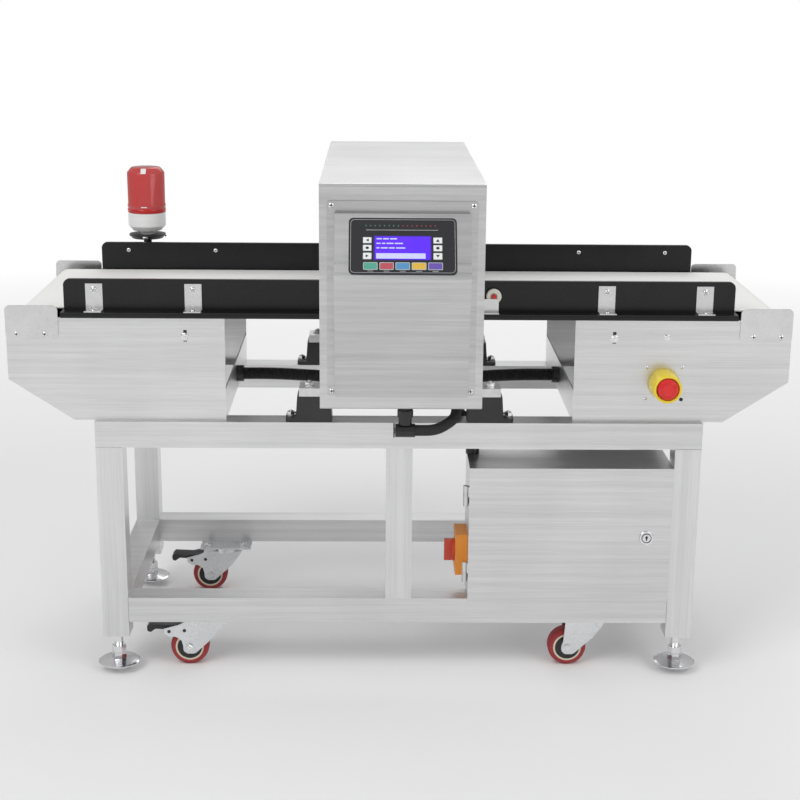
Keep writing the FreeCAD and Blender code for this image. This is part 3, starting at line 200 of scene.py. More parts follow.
def brushed_group():
    """Builds the brushed grain: long streaks, broader bands and faint clouds.

    Returns:
        The node tree.
    """
    tree, given, out = new_group(
        "brushed_grain",
        [("Coordinates", "NodeSocketVector"), ("Stretch", "NodeSocketVector"), ("Light", "NodeSocketColor"),
         ("Dark", "NodeSocketColor"), ("Roughness", "NodeSocketFloat"), ("Spread", "NodeSocketFloat")],
        [("Color", "NodeSocketColor"), ("Roughness", "NodeSocketFloat"), ("Height", "NodeSocketFloat")])
    stretched = tree.nodes.new("ShaderNodeVectorMath")
    stretched.operation = "MULTIPLY"
    tree.links.new(given.outputs["Coordinates"], stretched.inputs[0])
    tree.links.new(given.outputs["Stretch"], stretched.inputs[1])
    fine = noise(tree, stretched.outputs[0], 3.0, 6.0, 0.7)
    bands = noise(tree, stretched.outputs[0], 0.35, 3.0, 0.6)
    cloud = noise(tree, given.outputs["Coordinates"], 5.0, 2.0)
    streak = arithmetic(tree, "ADD", arithmetic(tree, "MULTIPLY", fine.outputs["Fac"], 0.55),
                        arithmetic(tree, "MULTIPLY", bands.outputs["Fac"], 0.45))
    tone = arithmetic(tree, "ADD", arithmetic(tree, "MULTIPLY", streak, 0.8),
                      arithmetic(tree, "MULTIPLY", cloud.outputs["Fac"], 0.2))
    share = spread(tree, tone, 0.0, 1.0, 0.36, 0.62)
    tree.links.new(blend_colours(tree, share, given.outputs["Dark"], given.outputs["Light"]),
                   out.inputs["Color"])
    shift = arithmetic(tree, "MULTIPLY", arithmetic(tree, "SUBTRACT", streak, 0.5), given.outputs["Spread"])
    tree.links.new(arithmetic(tree, "ADD", given.outputs["Roughness"], shift), out.inputs["Roughness"])
    tree.links.new(fine.outputs["Fac"], out.inputs["Height"])
    return tree


def moulded_group():
    """Builds the fine mottle of mouldings, paint, rubber and castings.

    Returns:
        The node tree.
    """
    tree, given, out = new_group(
        "moulded_mottle",
        [("Coordinates", "NodeSocketVector"), ("Light", "NodeSocketColor"), ("Dark", "NodeSocketColor"),
         ("Roughness", "NodeSocketFloat"), ("Spread", "NodeSocketFloat"), ("Grain", "NodeSocketFloat")],
        [("Color", "NodeSocketColor"), ("Roughness", "NodeSocketFloat"), ("Height", "NodeSocketFloat")])
    scaled = tree.nodes.new("ShaderNodeVectorMath")
    scaled.operation = "SCALE"
    tree.links.new(given.outputs["Coordinates"], scaled.inputs[0])
    tree.links.new(given.outputs["Grain"], scaled.inputs["Scale"])
    speck = noise(tree, scaled.outputs[0], 1.0, 3.0)
    cloud = noise(tree, given.outputs["Coordinates"], 9.0, 3.0)
    mixed = arithmetic(tree, "ADD", arithmetic(tree, "MULTIPLY", speck.outputs["Fac"], 0.45),
                       arithmetic(tree, "MULTIPLY", cloud.outputs["Fac"], 0.55))
    share = spread(tree, mixed, 0.0, 1.0, 0.35, 0.65)
    tree.links.new(blend_colours(tree, share, given.outputs["Dark"], given.outputs["Light"]),
                   out.inputs["Color"])
    shift = arithmetic(tree, "MULTIPLY", arithmetic(tree, "SUBTRACT", mixed, 0.5), given.outputs["Spread"])
    tree.links.new(arithmetic(tree, "ADD", given.outputs["Roughness"], shift), out.inputs["Roughness"])
    tree.links.new(speck.outputs["Fac"], out.inputs["Height"])
    return tree


class Effects:
    """The shared node groups, each built once."""

    made: dict[str, bpy.types.NodeTree] = {}
    makers = {"brushed": brushed_group, "moulded": moulded_group}

    @classmethod
    def get(cls, kind: str) -> bpy.types.NodeTree:
        """Gives one group, built the first time it is asked for."""
        if kind not in cls.made:
            cls.made[kind] = cls.makers[kind]()
        return cls.made[kind]


# ---------------------------------------------------------------- finishes


@dataclass(frozen=True)
class Finish:
    """A surface finish: colour, its darker partner, gloss and a shared effect."""

    name: str
    light: Colour
    dark: Colour
    metallic: float = 0.0
    roughness: float = 0.4
    spread: float = 0.15
    relief: float = 0.1
    coat: float = 0.0
    specular: float = 0.5
    grain: Grain | None = None
    fineness: float = 500.0
    glow: float = 0.0
    clear: float = 0.0

    def material(self) -> bpy.types.Material:
        """Gives the material, built the first time it is asked for.

        Returns:
            The material.
        """
        found = bpy.data.materials.get(self.name)
        if found:
            return found
        made = bpy.data.materials.new(self.name)
        made.use_nodes = True
        made.diffuse_color = (*self.light, 1.0)
        tree = made.node_tree
        shader = tree.nodes["Principled BSDF"]
        place = tree.nodes.new("ShaderNodeTexCoord")
        effect = tree.nodes.new("ShaderNodeGroup")
        effect.node_tree = Effects.get("brushed" if self.grain else "moulded")
        tree.links.new(place.outputs["Object"], effect.inputs["Coordinates"])
        effect.inputs["Light"].default_value = (*self.light, 1.0)
        effect.inputs["Dark"].default_value = (*self.dark, 1.0)
        effect.inputs["Roughness"].default_value = self.roughness
        effect.inputs["Spread"].default_value = self.spread
        if self.grain:
            effect.inputs["Stretch"].default_value = self.grain.value
        else:
            effect.inputs["Grain"].default_value = self.fineness
        bump = tree.nodes.new("ShaderNodeBump")
        bump.inputs["Strength"].default_value = self.relief
        bump.inputs["Distance"].default_value = 0.0004
        tree.links.new(effect.outputs["Height"], bump.inputs["Height"])
        tree.links.new(bump.outputs["Normal"], shader.inputs["Normal"])
        tree.links.new(effect.outputs["Color"], shader.inputs["Base Color"])
        tree.links.new(effect.outputs["Roughness"], shader.inputs["Roughness"])
        shader.inputs["Metallic"].default_value = self.metallic
        shader.inputs["Coat Weight"].default_value = self.coat
        shader.inputs["Coat Roughness"].default_value = 0.08
        shader.inputs["Specular IOR Level"].default_value = self.specular
        shader.inputs["Transmission Weight"].default_value = self.clear
        if self.glow:
            tree.links.new(effect.outputs["Color"], shader.inputs["Emission Color"])
            shader.inputs["Emission Strength"].default_value = self.glow
        return made


def steel(name: str, light: float, dark: float, grain: Grain, roughness: float = 0.3, relief: float = 0.12,
          spread: float = 0.22) -> Finish:
    """Makes a stainless finish from two grey levels.

    Args:
        name: The finish's name.
        light: Grey of the streaks that catch light.
        dark: Grey between them.
        grain: Direction of the brushing.
        roughness: Mean roughness.
        relief: Strength of the grain's relief.
        spread: How far the roughness varies.

    Returns:
        The finish.
    """
    return Finish(name, (light, light, light * 1.005), (dark, dark, dark * 1.01), 1.0, roughness, spread,
                  relief, grain=grain)


TUBE_X = steel("tube_along_x", 0.80, 0.62, Grain.ALONG_X, 0.34)
TUBE_Y = steel("tube_along_y", 0.78, 0.60, Grain.ALONG_Y, 0.34)
TUBE_Z = steel("tube_along_z", 0.82, 0.66, Grain.ALONG_Z, 0.34)
HOUSING = steel("housing_sheet", 0.80, 0.60, Grain.ALONG_X, 0.32, 0.16)
HEAD = steel("head_sheet", 0.74, 0.55, Grain.ALONG_X, 0.33, 0.16)
COVER = steel("cover_sheet", 0.66, 0.48, Grain.ALONG_X, 0.30, 0.16)
DOOR = steel("cabinet_sheet", 0.78, 0.60, Grain.ALONG_X, 0.32, 0.16)
PLATE = steel("plain_plate", 0.76, 0.62, Grain.NONE, 0.30, 0.05)
BRIGHT = steel("bright_screw", 0.88, 0.74, Grain.NONE, 0.18, 0.03)
ZINC = Finish("zinc_plate", (0.84, 0.85, 0.86), (0.70, 0.71, 0.73), 1.0, 0.28, 0.2, 0.04, fineness=300)
CHROME = Finish("chrome_nut", (0.86, 0.86, 0.87), (0.74, 0.74, 0.76), 1.0, 0.16, 0.1, 0.02, fineness=300)
ROLLER = steel("roller_tube", 0.74, 0.56, Grain.ALONG_X, 0.28)
BLACK_IRON = Finish("black_casting", (0.035, 0.035, 0.037), (0.015, 0.015, 0.016), 0.0, 0.42, 0.2, 0.35,
                    fineness=700)
GUIDE_BLACK = Finish("guide_black", (0.012, 0.012, 0.013), (0.006, 0.006, 0.007), 0.0, 0.30, 0.1, 0.03,
                     specular=0.35, fineness=200)
BLACK_PLASTIC = Finish("black_plastic", (0.03, 0.03, 0.032), (0.012, 0.012, 0.013), 0.0, 0.36, 0.15, 0.15)
CABLE_BLACK = Finish("cable_black", (0.022, 0.022, 0.024), (0.010, 0.010, 0.011), 0.0, 0.42, 0.15, 0.12)
BELT = Finish("belt_white", (0.86, 0.86, 0.85), (0.80, 0.80, 0.79), 0.0, 0.45, 0.12, 0.10, fineness=900)
BED_PLASTIC = Finish("white_plastic", (0.82, 0.82, 0.80), (0.76, 0.76, 0.74), 0.0, 0.38, 0.1, 0.06)
TREAD = Finish("dark_red_tread", (0.26, 0.022, 0.026), (0.17, 0.012, 0.016), 0.0, 0.33, 0.15, 0.08, coat=0.25)
WHEEL_CREAM = Finish("wheel_cream", (0.72, 0.66, 0.52), (0.60, 0.54, 0.42), 0.0, 0.35, 0.12, 0.06)
CREAM = Finish("cream_plastic", (0.80, 0.77, 0.66), (0.72, 0.69, 0.58), 0.0, 0.35, 0.12, 0.05)
YELLOW = Finish("yellow_plastic", (0.95, 0.80, 0.03), (0.88, 0.70, 0.02), 0.0, 0.32, 0.12, 0.05, coat=0.2)
RED = Finish("red_plastic", (0.72, 0.025, 0.018), (0.58, 0.015, 0.012), 0.0, 0.28, 0.12, 0.03, coat=0.35)
ORANGE = Finish("orange_plastic", (0.88, 0.27, 0.02), (0.78, 0.20, 0.012), 0.0, 0.34, 0.12, 0.06, coat=0.2)
KNOB_RED = Finish("knob_red", (0.70, 0.07, 0.025), (0.55, 0.04, 0.015), 0.0, 0.32, 0.12, 0.05, coat=0.2)
LENS = Finish("red_lens", (0.85, 0.018, 0.012), (0.62, 0.008, 0.006), 0.0, 0.14, 0.05, 0.02, coat=0.5,
              glow=0.10, fineness=60)
BEACON_WHITE = Finish("beacon_white", (0.84, 0.84, 0.84), (0.78, 0.78, 0.78), 0.0, 0.32, 0.1, 0.03)
RESIN = Finish("resin", (0.55, 0.50, 0.38), (0.45, 0.40, 0.30), 0.0, 0.5, 0.15, 0.1)
COPPER = Finish("copper", (0.78, 0.38, 0.20), (0.60, 0.26, 0.13), 1.0, 0.3, 0.15, 0.05)
BOARD = Finish("green_board", (0.03, 0.20, 0.08), (0.02, 0.13, 0.05), 0.0, 0.4, 0.15, 0.08)
GREY_PAINT = Finish("grey_paint", (0.42, 0.43, 0.44), (0.36, 0.37, 0.38), 0.0, 0.45, 0.15, 0.15)
FILM = Finish("panel_film", (0.014, 0.014, 0.016), (0.008, 0.008, 0.010), 0.0, 0.30, 0.08, 0.02, coat=0.3)
INK_LIGHT = Finish("panel_ink", (0.55, 0.56, 0.58), (0.48, 0.49, 0.51), 0.0, 0.45, 0.1, 0.02)

# ---------------------------------------------------------------- the solids' finishes

CORNERS = [f"{end}_{side}" for end in ("front", "rear") for side in ("left", "right")]
SOLIDS: dict[str, tuple[Finish, str]] = {
    "aperture_liner": (BED_PLASTIC, "white_plastic"), "beacon_base": (BEACON_WHITE, "white_plastic"),
    "beacon_bracket": (BLACK_IRON, "black_steel"), "beacon_lens": (LENS, "red_lens"),
    "cabinet_body": (DOOR, "sheet_steel"), "cabinet_door": (DOOR, "sheet_steel"),
    "cabinet_equipment": (GREY_PAINT, "grey_paint"), "cabinet_hinges": (PLATE, "chrome_steel"),
    "cable_glands": (BLACK_PLASTIC, "black_plastic"), "castor_plates": (ZINC, "zinc"),
    "coil_potting": (RESIN, "resin"), "console_cover": (COVER, "sheet_steel"),
    "control_panel": (FILM, "panel_film"), "conveyor_belt": (BELT, "belt_white"),
    "detector_coils": (COPPER, "copper"), "detector_electronics": (BOARD, "green_board"),
    "door_lock": (CHROME, "chrome_steel"), "drive_drum": (ROLLER, "roller_steel"),
    "edge_strips": (GUIDE_BLACK, "black_plastic"), "end_covers": (HOUSING, "sheet_steel"),
    "end_roller_left": (ROLLER, "roller_steel"), "end_roller_right": (ROLLER, "roller_steel"),
    "frame_legs": (TUBE_Z, "frame_steel"), "frame_rails": (TUBE_X, "frame_steel"),
    "guide_brackets": (PLATE, "sheet_steel"), "head_cable": (CABLE_BLACK, "cable_black"),
    "head_casing": (HEAD, "sheet_steel"), "head_mount_bars": (TUBE_Y, "frame_steel"),
    "head_mount_feet": (BLACK_IRON, "black_steel"), "housing_braces": (HOUSING, "sheet_steel"),
    "housing_conduit": (CABLE_BLACK, "cable_black"), "housing_plates": (HOUSING, "sheet_steel"),
    "isolator_base": (ORANGE, "orange_plastic"), "isolator_knob": (KNOB_RED, "red_plastic"),
    "leg_plugs": (BLACK_PLASTIC, "black_plastic"), "nose_plates": (PLATE, "sheet_steel"),
    "photo_eye": (CREAM, "cream_plastic"), "photo_eye_bracket": (PLATE, "sheet_steel"),
    "return_roller_left": (ROLLER, "roller_steel"), "return_roller_right": (ROLLER, "roller_steel"),
    "roller_shafts": (CHROME, "chrome_steel"), "side_guides": (GUIDE_BLACK, "black_plastic"),
    "slider_bed": (PLATE, "sheet_steel"), "stop_button": (RED, "red_plastic"),
    "stop_collar": (YELLOW, "yellow_plastic"), "stop_stem": (BLACK_PLASTIC, "black_plastic"),
}
for corner in CORNERS:
    SOLIDS[f"castor_fork_{corner}"] = (ZINC, "zinc")
    SOLIDS[f"castor_wheel_{corner}"] = (TREAD, "dark_red_tread")
    SOLIDS[f"levelling_foot_{corner}"] = (CHROME, "chrome_steel")
for end in ("front", "rear"):
    SOLIDS[f"castor_pedal_{end}_left"] = (BLACK_IRON, "black_steel")


def dress_solids(solids: dict[str, bpy.types.Object]) -> None:
    """Gives every solid of the frame its finish.

    Args:
        solids: The frame's nodes by name.
    """
    for name, solid in solids.items():
        finish, _ = SOLIDS[name]
        solid.data.materials.clear()
        solid.data.materials.append(finish.material())
        LOG.info("finished solid %s with %s", name, finish.name)


# ---------------------------------------------------------------- forms


class Form:
    """One piece, put together with bmesh operators in the part's frame, in metres."""

    def __init__(self) -> None:
        """Starts an empty piece."""
        self.mesh = bmesh.new()

    def _paint(self, verts: Iterable[bmesh.types.BMVert], index: int) -> None:
        """Gives the faces of these corners one of the piece's finishes."""
        for face in {face for vert in verts for face in vert.link_faces}:
            face.material_index = index

    def bevel(self, edges: Sequence[bmesh.types.BMEdge], width: float, steps: int, index: int) -> None:
        """Rounds some edges.

        Args:
            edges: The edges.
            width: Width of the rounding, in metres.
            steps: Faces across it.
            index: Which of the piece's finishes it takes.
        """
        if width > 0 and edges:
            made = bmesh.ops.bevel(self.mesh, geom=list(edges), offset=width, offset_type="OFFSET",
                                   segments=steps, profile=0.5, affect="EDGES", clamp_overlap=True,
                                   material=-1)
            for face in made["faces"]:
                face.material_index = index

    def box(self, low: Point, high: Point, rounding: float = 0.0, index: int = 0, steps: int = 2,
            turn: Matrix | None = None) -> "Form":
        """Adds a box between two corners.

        Args:
            low: Lowest corner, in millimetres.
            high: Highest corner, in millimetres.
            rounding: Radius of every edge, in millimetres.
            index: Which of the piece's finishes it takes.
            steps: Faces across each rounded edge.
            turn: A transform in metres, used last.

        Returns:
            This form.
        """
        lo, hi = Vector(low) * MM, Vector(high) * MM
        made = bmesh.ops.create_cube(self.mesh, size=1.0)["verts"]
        size = hi - lo
        bmesh.ops.scale(self.mesh, vec=size, verts=made)
        bmesh.ops.translate(self.mesh, vec=(lo + hi) / 2, verts=made)
        if turn:
            bmesh.ops.transform(self.mesh, matrix=turn, verts=made)
        self._paint(made, index)
        self.bevel(list({edge for vert in made for edge in vert.link_edges}), rounding * MM, steps, index)
        return self

    def turned(self, profile: Sequence[tuple[float, float]], at: Point, axis: Axis | Vector = Axis.UP,
               steps: int = 28, index: int = 0) -> "Form":
        """Adds a form turned about an axis through a point.

        Args:
            profile: Pairs of radius and height along the axis, in millimetres, from pole to pole.
            at: The axis's foot, in millimetres.
            axis: The direction of the axis.
            steps: Faces round it.
            index: Which of the piece's finishes it takes.

        Returns:
            This form.
        """
        verts = [self.mesh.verts.new((radius * MM, 0.0, height * MM)) for radius, height in profile]
        edges = [self.mesh.edges.new(pair) for pair in zip(verts, verts[1:])]
        if profile[0] == profile[-1]:
            edges.append(self.mesh.edges.new((verts[-2], verts[0])))
        before = set(self.mesh.verts) - set(verts)
        bmesh.ops.spin(self.mesh, geom=verts + edges, axis=(0, 0, 1), cent=(0, 0, 0), steps=steps,
                       angle=FULL_TURN, use_merge=True, use_duplicate=False)
        made = [vert for vert in self.mesh.verts if vert not in before]
        bmesh.ops.remove_doubles(self.mesh, verts=made, dist=MERGE)
        made = [vert for vert in self.mesh.verts if vert not in before]
        direction = Vector(axis.value) if isinstance(axis, Axis) else axis
        spin = Vector((0, 0, 1)).rotation_difference(direction).to_matrix().to_4x4()
        bmesh.ops.transform(self.mesh, matrix=Matrix.Translation(Vector(at) * MM) @ spin, verts=made)
        self._paint(made, index)
        return self

    def hexagon(self, across: float, height: float, at: Point, axis: Axis | Vector = Axis.UP,
                index: int = 0, chamfer: float = 0.6, sides: int = 6) -> "Form":
        """Adds a hexagonal nut or bolt head that stands on a point.

        Args:
            across: Width over the flats, in millimetres.
            height: Height along the axis, in millimetres.
            at: Middle of its foot, in millimetres.
            axis: The direction in which it stands.
            index: Which of the piece's finishes it takes.
            chamfer: Rounding of the far rim, in millimetres.
            sides: Number of flats.

        Returns:
            This form.
        """
        radius = across / 2 / math.cos(math.pi / sides) * MM
        made = bmesh.ops.create_cone(self.mesh, cap_ends=True, cap_tris=False, segments=sides,
                                     radius1=radius, radius2=radius, depth=height * MM)["verts"]
        bmesh.ops.translate(self.mesh, vec=(0, 0, height * MM / 2), verts=made)
        direction = Vector(axis.value) if isinstance(axis, Axis) else axis
        spin = Vector((0, 0, 1)).rotation_difference(direction).to_matrix().to_4x4()
        top = [vert for vert in made if vert.co.z > height * MM / 2]
        rim = [edge for edge in {e for v in top for e in v.link_edges} if all(v in top for v in edge.verts)]
        bmesh.ops.transform(self.mesh, matrix=Matrix.Translation(Vector(at) * MM) @ spin, verts=made)
        self._paint(made, index)
        self.bevel(rim, chamfer * MM, 1, index)
        return self

    def plate(self, outline: Sequence[tuple[float, float]], thickness: float, place: Matrix,
              rounding: float = 0.0, index: int = 0, corner: float = 0.0, steps: int = 5) -> "Form":
        """Adds a flat plate, drawn in its own plane and then put in place.

        Args:
            outline: Corners in the plate's plane, in millimetres.
            thickness: Along the plane's normal, in millimetres.
            place: From the plate's plane to the part's frame, in metres.
            rounding: Radius of the far face's rim, in millimetres.
            index: Which of the piece's finishes it takes.
            corner: Radius of the outline's corners, in millimetres.
            steps: Faces across each of those corners.

        Returns:
            This form.
        """
        verts = [self.mesh.verts.new((x * MM, y * MM, 0.0)) for x, y in outline]
        face = self.mesh.faces.new(verts)
        raised = bmesh.ops.extrude_face_region(self.mesh, geom=[face])["geom"]
        tops = [item for item in raised if isinstance(item, bmesh.types.BMVert)]
        bmesh.ops.translate(self.mesh, vec=(0, 0, thickness * MM), verts=tops)
        made = verts + tops
        if corner:
            posts = [edge for edge in {e for v in tops for e in v.link_edges}
                     if (edge.verts[0] in tops) != (edge.verts[1] in tops)]
            before = set(self.mesh.verts) - set(made)
            self.bevel(posts, corner * MM, steps, index)
            made = [vert for vert in self.mesh.verts if vert not in before]
        if rounding:
            high = [vert for vert in made if vert.co.z > thickness * MM / 2]
            rim = [edge for edge in {e for v in high for e in v.link_edges}
                   if all(v in high for v in edge.verts)]
            before = set(self.mesh.verts) - set(made)
            self.bevel(rim, rounding * MM, 2, index)
            made = [vert for vert in self.mesh.verts if vert not in before]
        bmesh.ops.transform(self.mesh, matrix=place, verts=made)
        self._paint(made, index)
        return self

    def tube(self, stations: Sequence[tuple[Vector, float]], steps: int = 20, index: int = 0) -> "Form":
        """Adds a round tube whose radius may change from station to station.

        Args:
            stations: Pairs of a point in metres and a radius in metres.
            steps: Faces round it.
            index: Which of the piece's finishes it takes.

        Returns:
            This form.
        """
        points = [point for point, _ in stations]
        made: list[bmesh.types.BMVert] = []
        ring = bmesh.ops.create_circle(self.mesh, cap_ends=False, segments=steps, radius=1.0)["verts"]
        heading = (points[1] - points[0]).normalized()
        turn = Vector((0, 0, 1)).rotation_difference(heading)
        offsets = [turn @ vert.co for vert in ring]
        for vert, offset in zip(ring, offsets):
            vert.co = points[0] + offset * stations[0][1]
        made += ring
        for number in range(1, len(stations)):
            ahead = points[min(number + 1, len(points) - 1)] - points[number - 1]
            step = heading.rotation_difference(ahead.normalized())
            heading = ahead.normalized()
            offsets = [step @ offset for offset in offsets]
            edges = [edge for edge in {e for v in ring for e in v.link_edges}
                     if all(v in ring for v in edge.verts)]
            spread_out = bmesh.ops.extrude_edge_only(self.mesh, edges=edges)["geom"]
            fresh = {v for v in spread_out if isinstance(v, bmesh.types.BMVert)}
            partner = {}
            for vert in ring:
                for edge in vert.link_edges:
                    other = edge.other_vert(vert)
                    if other in fresh:
                        partner[vert] = other
            ring = [partner[vert] for vert in ring]
            for vert, offset in zip(ring, offsets):
                vert.co = points[number] + offset * stations[number][1]
            made += ring
        bmesh.ops.holes_fill(self.mesh, edges=[e for e in self.mesh.edges if e.is_boundary], sides=0)
        self._paint(made, index)
        return self

    def piece(self, name: str, body: str, finishes: Sequence[Finish],
              replaces: Sequence[str] = ()) -> bpy.types.Object:
        """Turns the form into a finished piece.

        Args:
            name: The piece's name.
            body: The body of the frame that it rides on.
            finishes: Its finishes, in the order of their index.
            replaces: Solids that it stands for.

        Returns:
            The piece's object.
        """
        bmesh.ops.recalc_face_normals(self.mesh, faces=list(self.mesh.faces))
        data = bpy.data.meshes.new(name)
        self.mesh.to_mesh(data)
        self.mesh.free()
        for finish in finishes:
            data.materials.append(finish.material())
        data.shade_smooth()
        data.set_sharp_from_angle(angle=SHARP_ANGLE)
        made = bpy.data.objects.new(name, data)
        bpy.context.scene.collection.objects.link(made)
        if replaces:
            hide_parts(*replaces)
        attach(made, body)
        LOG.info("made piece %s on %s with %d faces", name, body, len(data.polygons))
        return made


MIDLINE = 42.5
FRONT_WALL = MIDLINE - 240.0
CASTOR_X = 372.0
CASTOR_SPREAD = 197.0
ENDS = {"front": -1, "rear": 1}
SIDES = {"left": -1, "right": 1}

LCD_BLUE = Finish("display_blue", (0.10, 0.02, 0.86), (0.07, 0.012, 0.70), 0.0, 0.25, 0.05, 0.0, glow=0.45)
LCD_PALE = Finish("display_pale", (0.50, 0.52, 0.95), (0.42, 0.44, 0.88), 0.0, 0.25, 0.05, 0.0, glow=0.4)
LCD_RIM = Finish("display_rim", (0.045, 0.02, 0.20), (0.03, 0.012, 0.14), 0.0, 0.3, 0.05, 0.0)
KEY_WHITE = Finish("key_white", (0.86, 0.86, 0.86), (0.80, 0.80, 0.80), 0.0, 0.4, 0.1, 0.02)
KEY_RIM = Finish("key_rim", (0.55, 0.60, 0.60), (0.48, 0.53, 0.53), 0.0, 0.4, 0.1, 0.02)
KEY_TEAL = Finish("key_teal", (0.10, 0.42, 0.31), (0.08, 0.36, 0.26), 0.0, 0.4, 0.1, 0.02)
KEY_RED = Finish("key_red", (0.55, 0.09, 0.12), (0.46, 0.07, 0.09), 0.0, 0.4, 0.1, 0.02)
KEY_BLUE = Finish("key_blue", (0.10, 0.31, 0.58), (0.08, 0.26, 0.50), 0.0, 0.4, 0.1, 0.02)
KEY_YELLOW = Finish("key_yellow", (0.80, 0.50, 0.06), (0.70, 0.43, 0.05), 0.0, 0.4, 0.1, 0.02)
KEY_PURPLE = Finish("key_purple", (0.16, 0.09, 0.46), (0.12, 0.07, 0.38), 0.0, 0.4, 0.1, 0.02)
LED_GREEN = Finish("lamp_green", (0.09, 0.24, 0.17), (0.06, 0.18, 0.12), 0.0, 0.3, 0.05, 0.0)
LED_RED = Finish("lamp_red", (0.42, 0.05, 0.06), (0.32, 0.04, 0.04), 0.0, 0.3, 0.05, 0.0)
GASKET = Finish("door_gasket", (0.02, 0.02, 0.02), (0.01, 0.01, 0.01), 0.0, 0.6, 0.1, 0.2)
WELD = steel("weld_seam", 0.55, 0.38, Grain.NONE, 0.35, 0.2)


class Recess(Enum):
    """What a fixing's head is driven by."""

    CROSS = "cross"
    SLOT = "slot"
    SOCKET = "socket"
    HEX = "hex"


@dataclass(frozen=True)
class Fixing:
    """A screw or bolt head, with its washer: finish 0 is the metal, finish 1 the painted shade laid in its
    recess.
    """

    radius: float = 4.5
    height: float = 2.4
    recess: Recess = Recess.CROSS
    washer: float = 0.0
    washer_height: float = 1.2

    def add(self, form: Form, at: Point, axis: Axis, metal: int = 0, dark: int = 1) -> None:
        """Adds the fixing to a form.

        Args:
            form: The form that gets it.
            at: Middle of its seat, in millimetres.
            axis: The direction in which its head points.
            metal: Index of the metal finish.
            dark: Index of the finish painted as shade in the recess.
        """
        heading = Vector(axis.value)
        seat = Vector(at)
        if self.washer:
            rim, high = self.washer, self.washer_height
            form.turned([(0, 0), (rim, 0), (rim, high * 0.7), (rim - 0.5, high), (0, high)], seat, axis, 24,
                        metal)
            seat = seat + heading * high
        if self.recess is Recess.HEX:
            form.hexagon(2 * self.radius, self.height, seat, axis, metal, 0.7)
            stub = self.radius * 0.5
            form.turned([(0, 0), (stub, 0), (stub, self.height + 1.4), (stub - 0.6, self.height + 2),
                         (0, self.height + 2)], seat, axis, 16, metal)
            return
        r, h = self.radius, self.height
        form.turned([(0, 0), (r, 0), (r, 0.35 * h), (0.86 * r, 0.72 * h), (0.55 * r, 0.95 * h), (0, h)],
                    seat, axis, 20, metal)
        top = Matrix.Translation((seat + heading * h) * MM)
        top = top @ Vector((0, 0, 1)).rotation_difference(heading).to_matrix().to_4x4()
        # The recess is not cut: a dark box or disc laid into and just over the head is painted shade for the
        # hollow.
        long, thin, sink, rise = 0.62 * r, 0.13 * r, 0.3 * h, 0.04
        if self.recess is Recess.SOCKET:
            form.turned([(0, 0), (0.5 * r, 0), (0.5 * r, 0.12), (0, 0.12)], seat + heading * (0.93 * h), axis,
                        6, dark)
            return
        form.box((-long, -thin, -sink), (long, thin, rise), 0.0, dark, turn=top)
        if self.recess is Recess.CROSS:
            form.box((-thin, -long, -sink), (thin, long, rise), 0.0, dark, turn=top)


PAN = Fixing(4.8, 2.6)
SMALL_SLOT = Fixing(3.6, 1.8, Recess.SLOT)
FLANGE_BOLT = Fixing(6.5, 6.0, Recess.HEX, 9.5, 1.8)


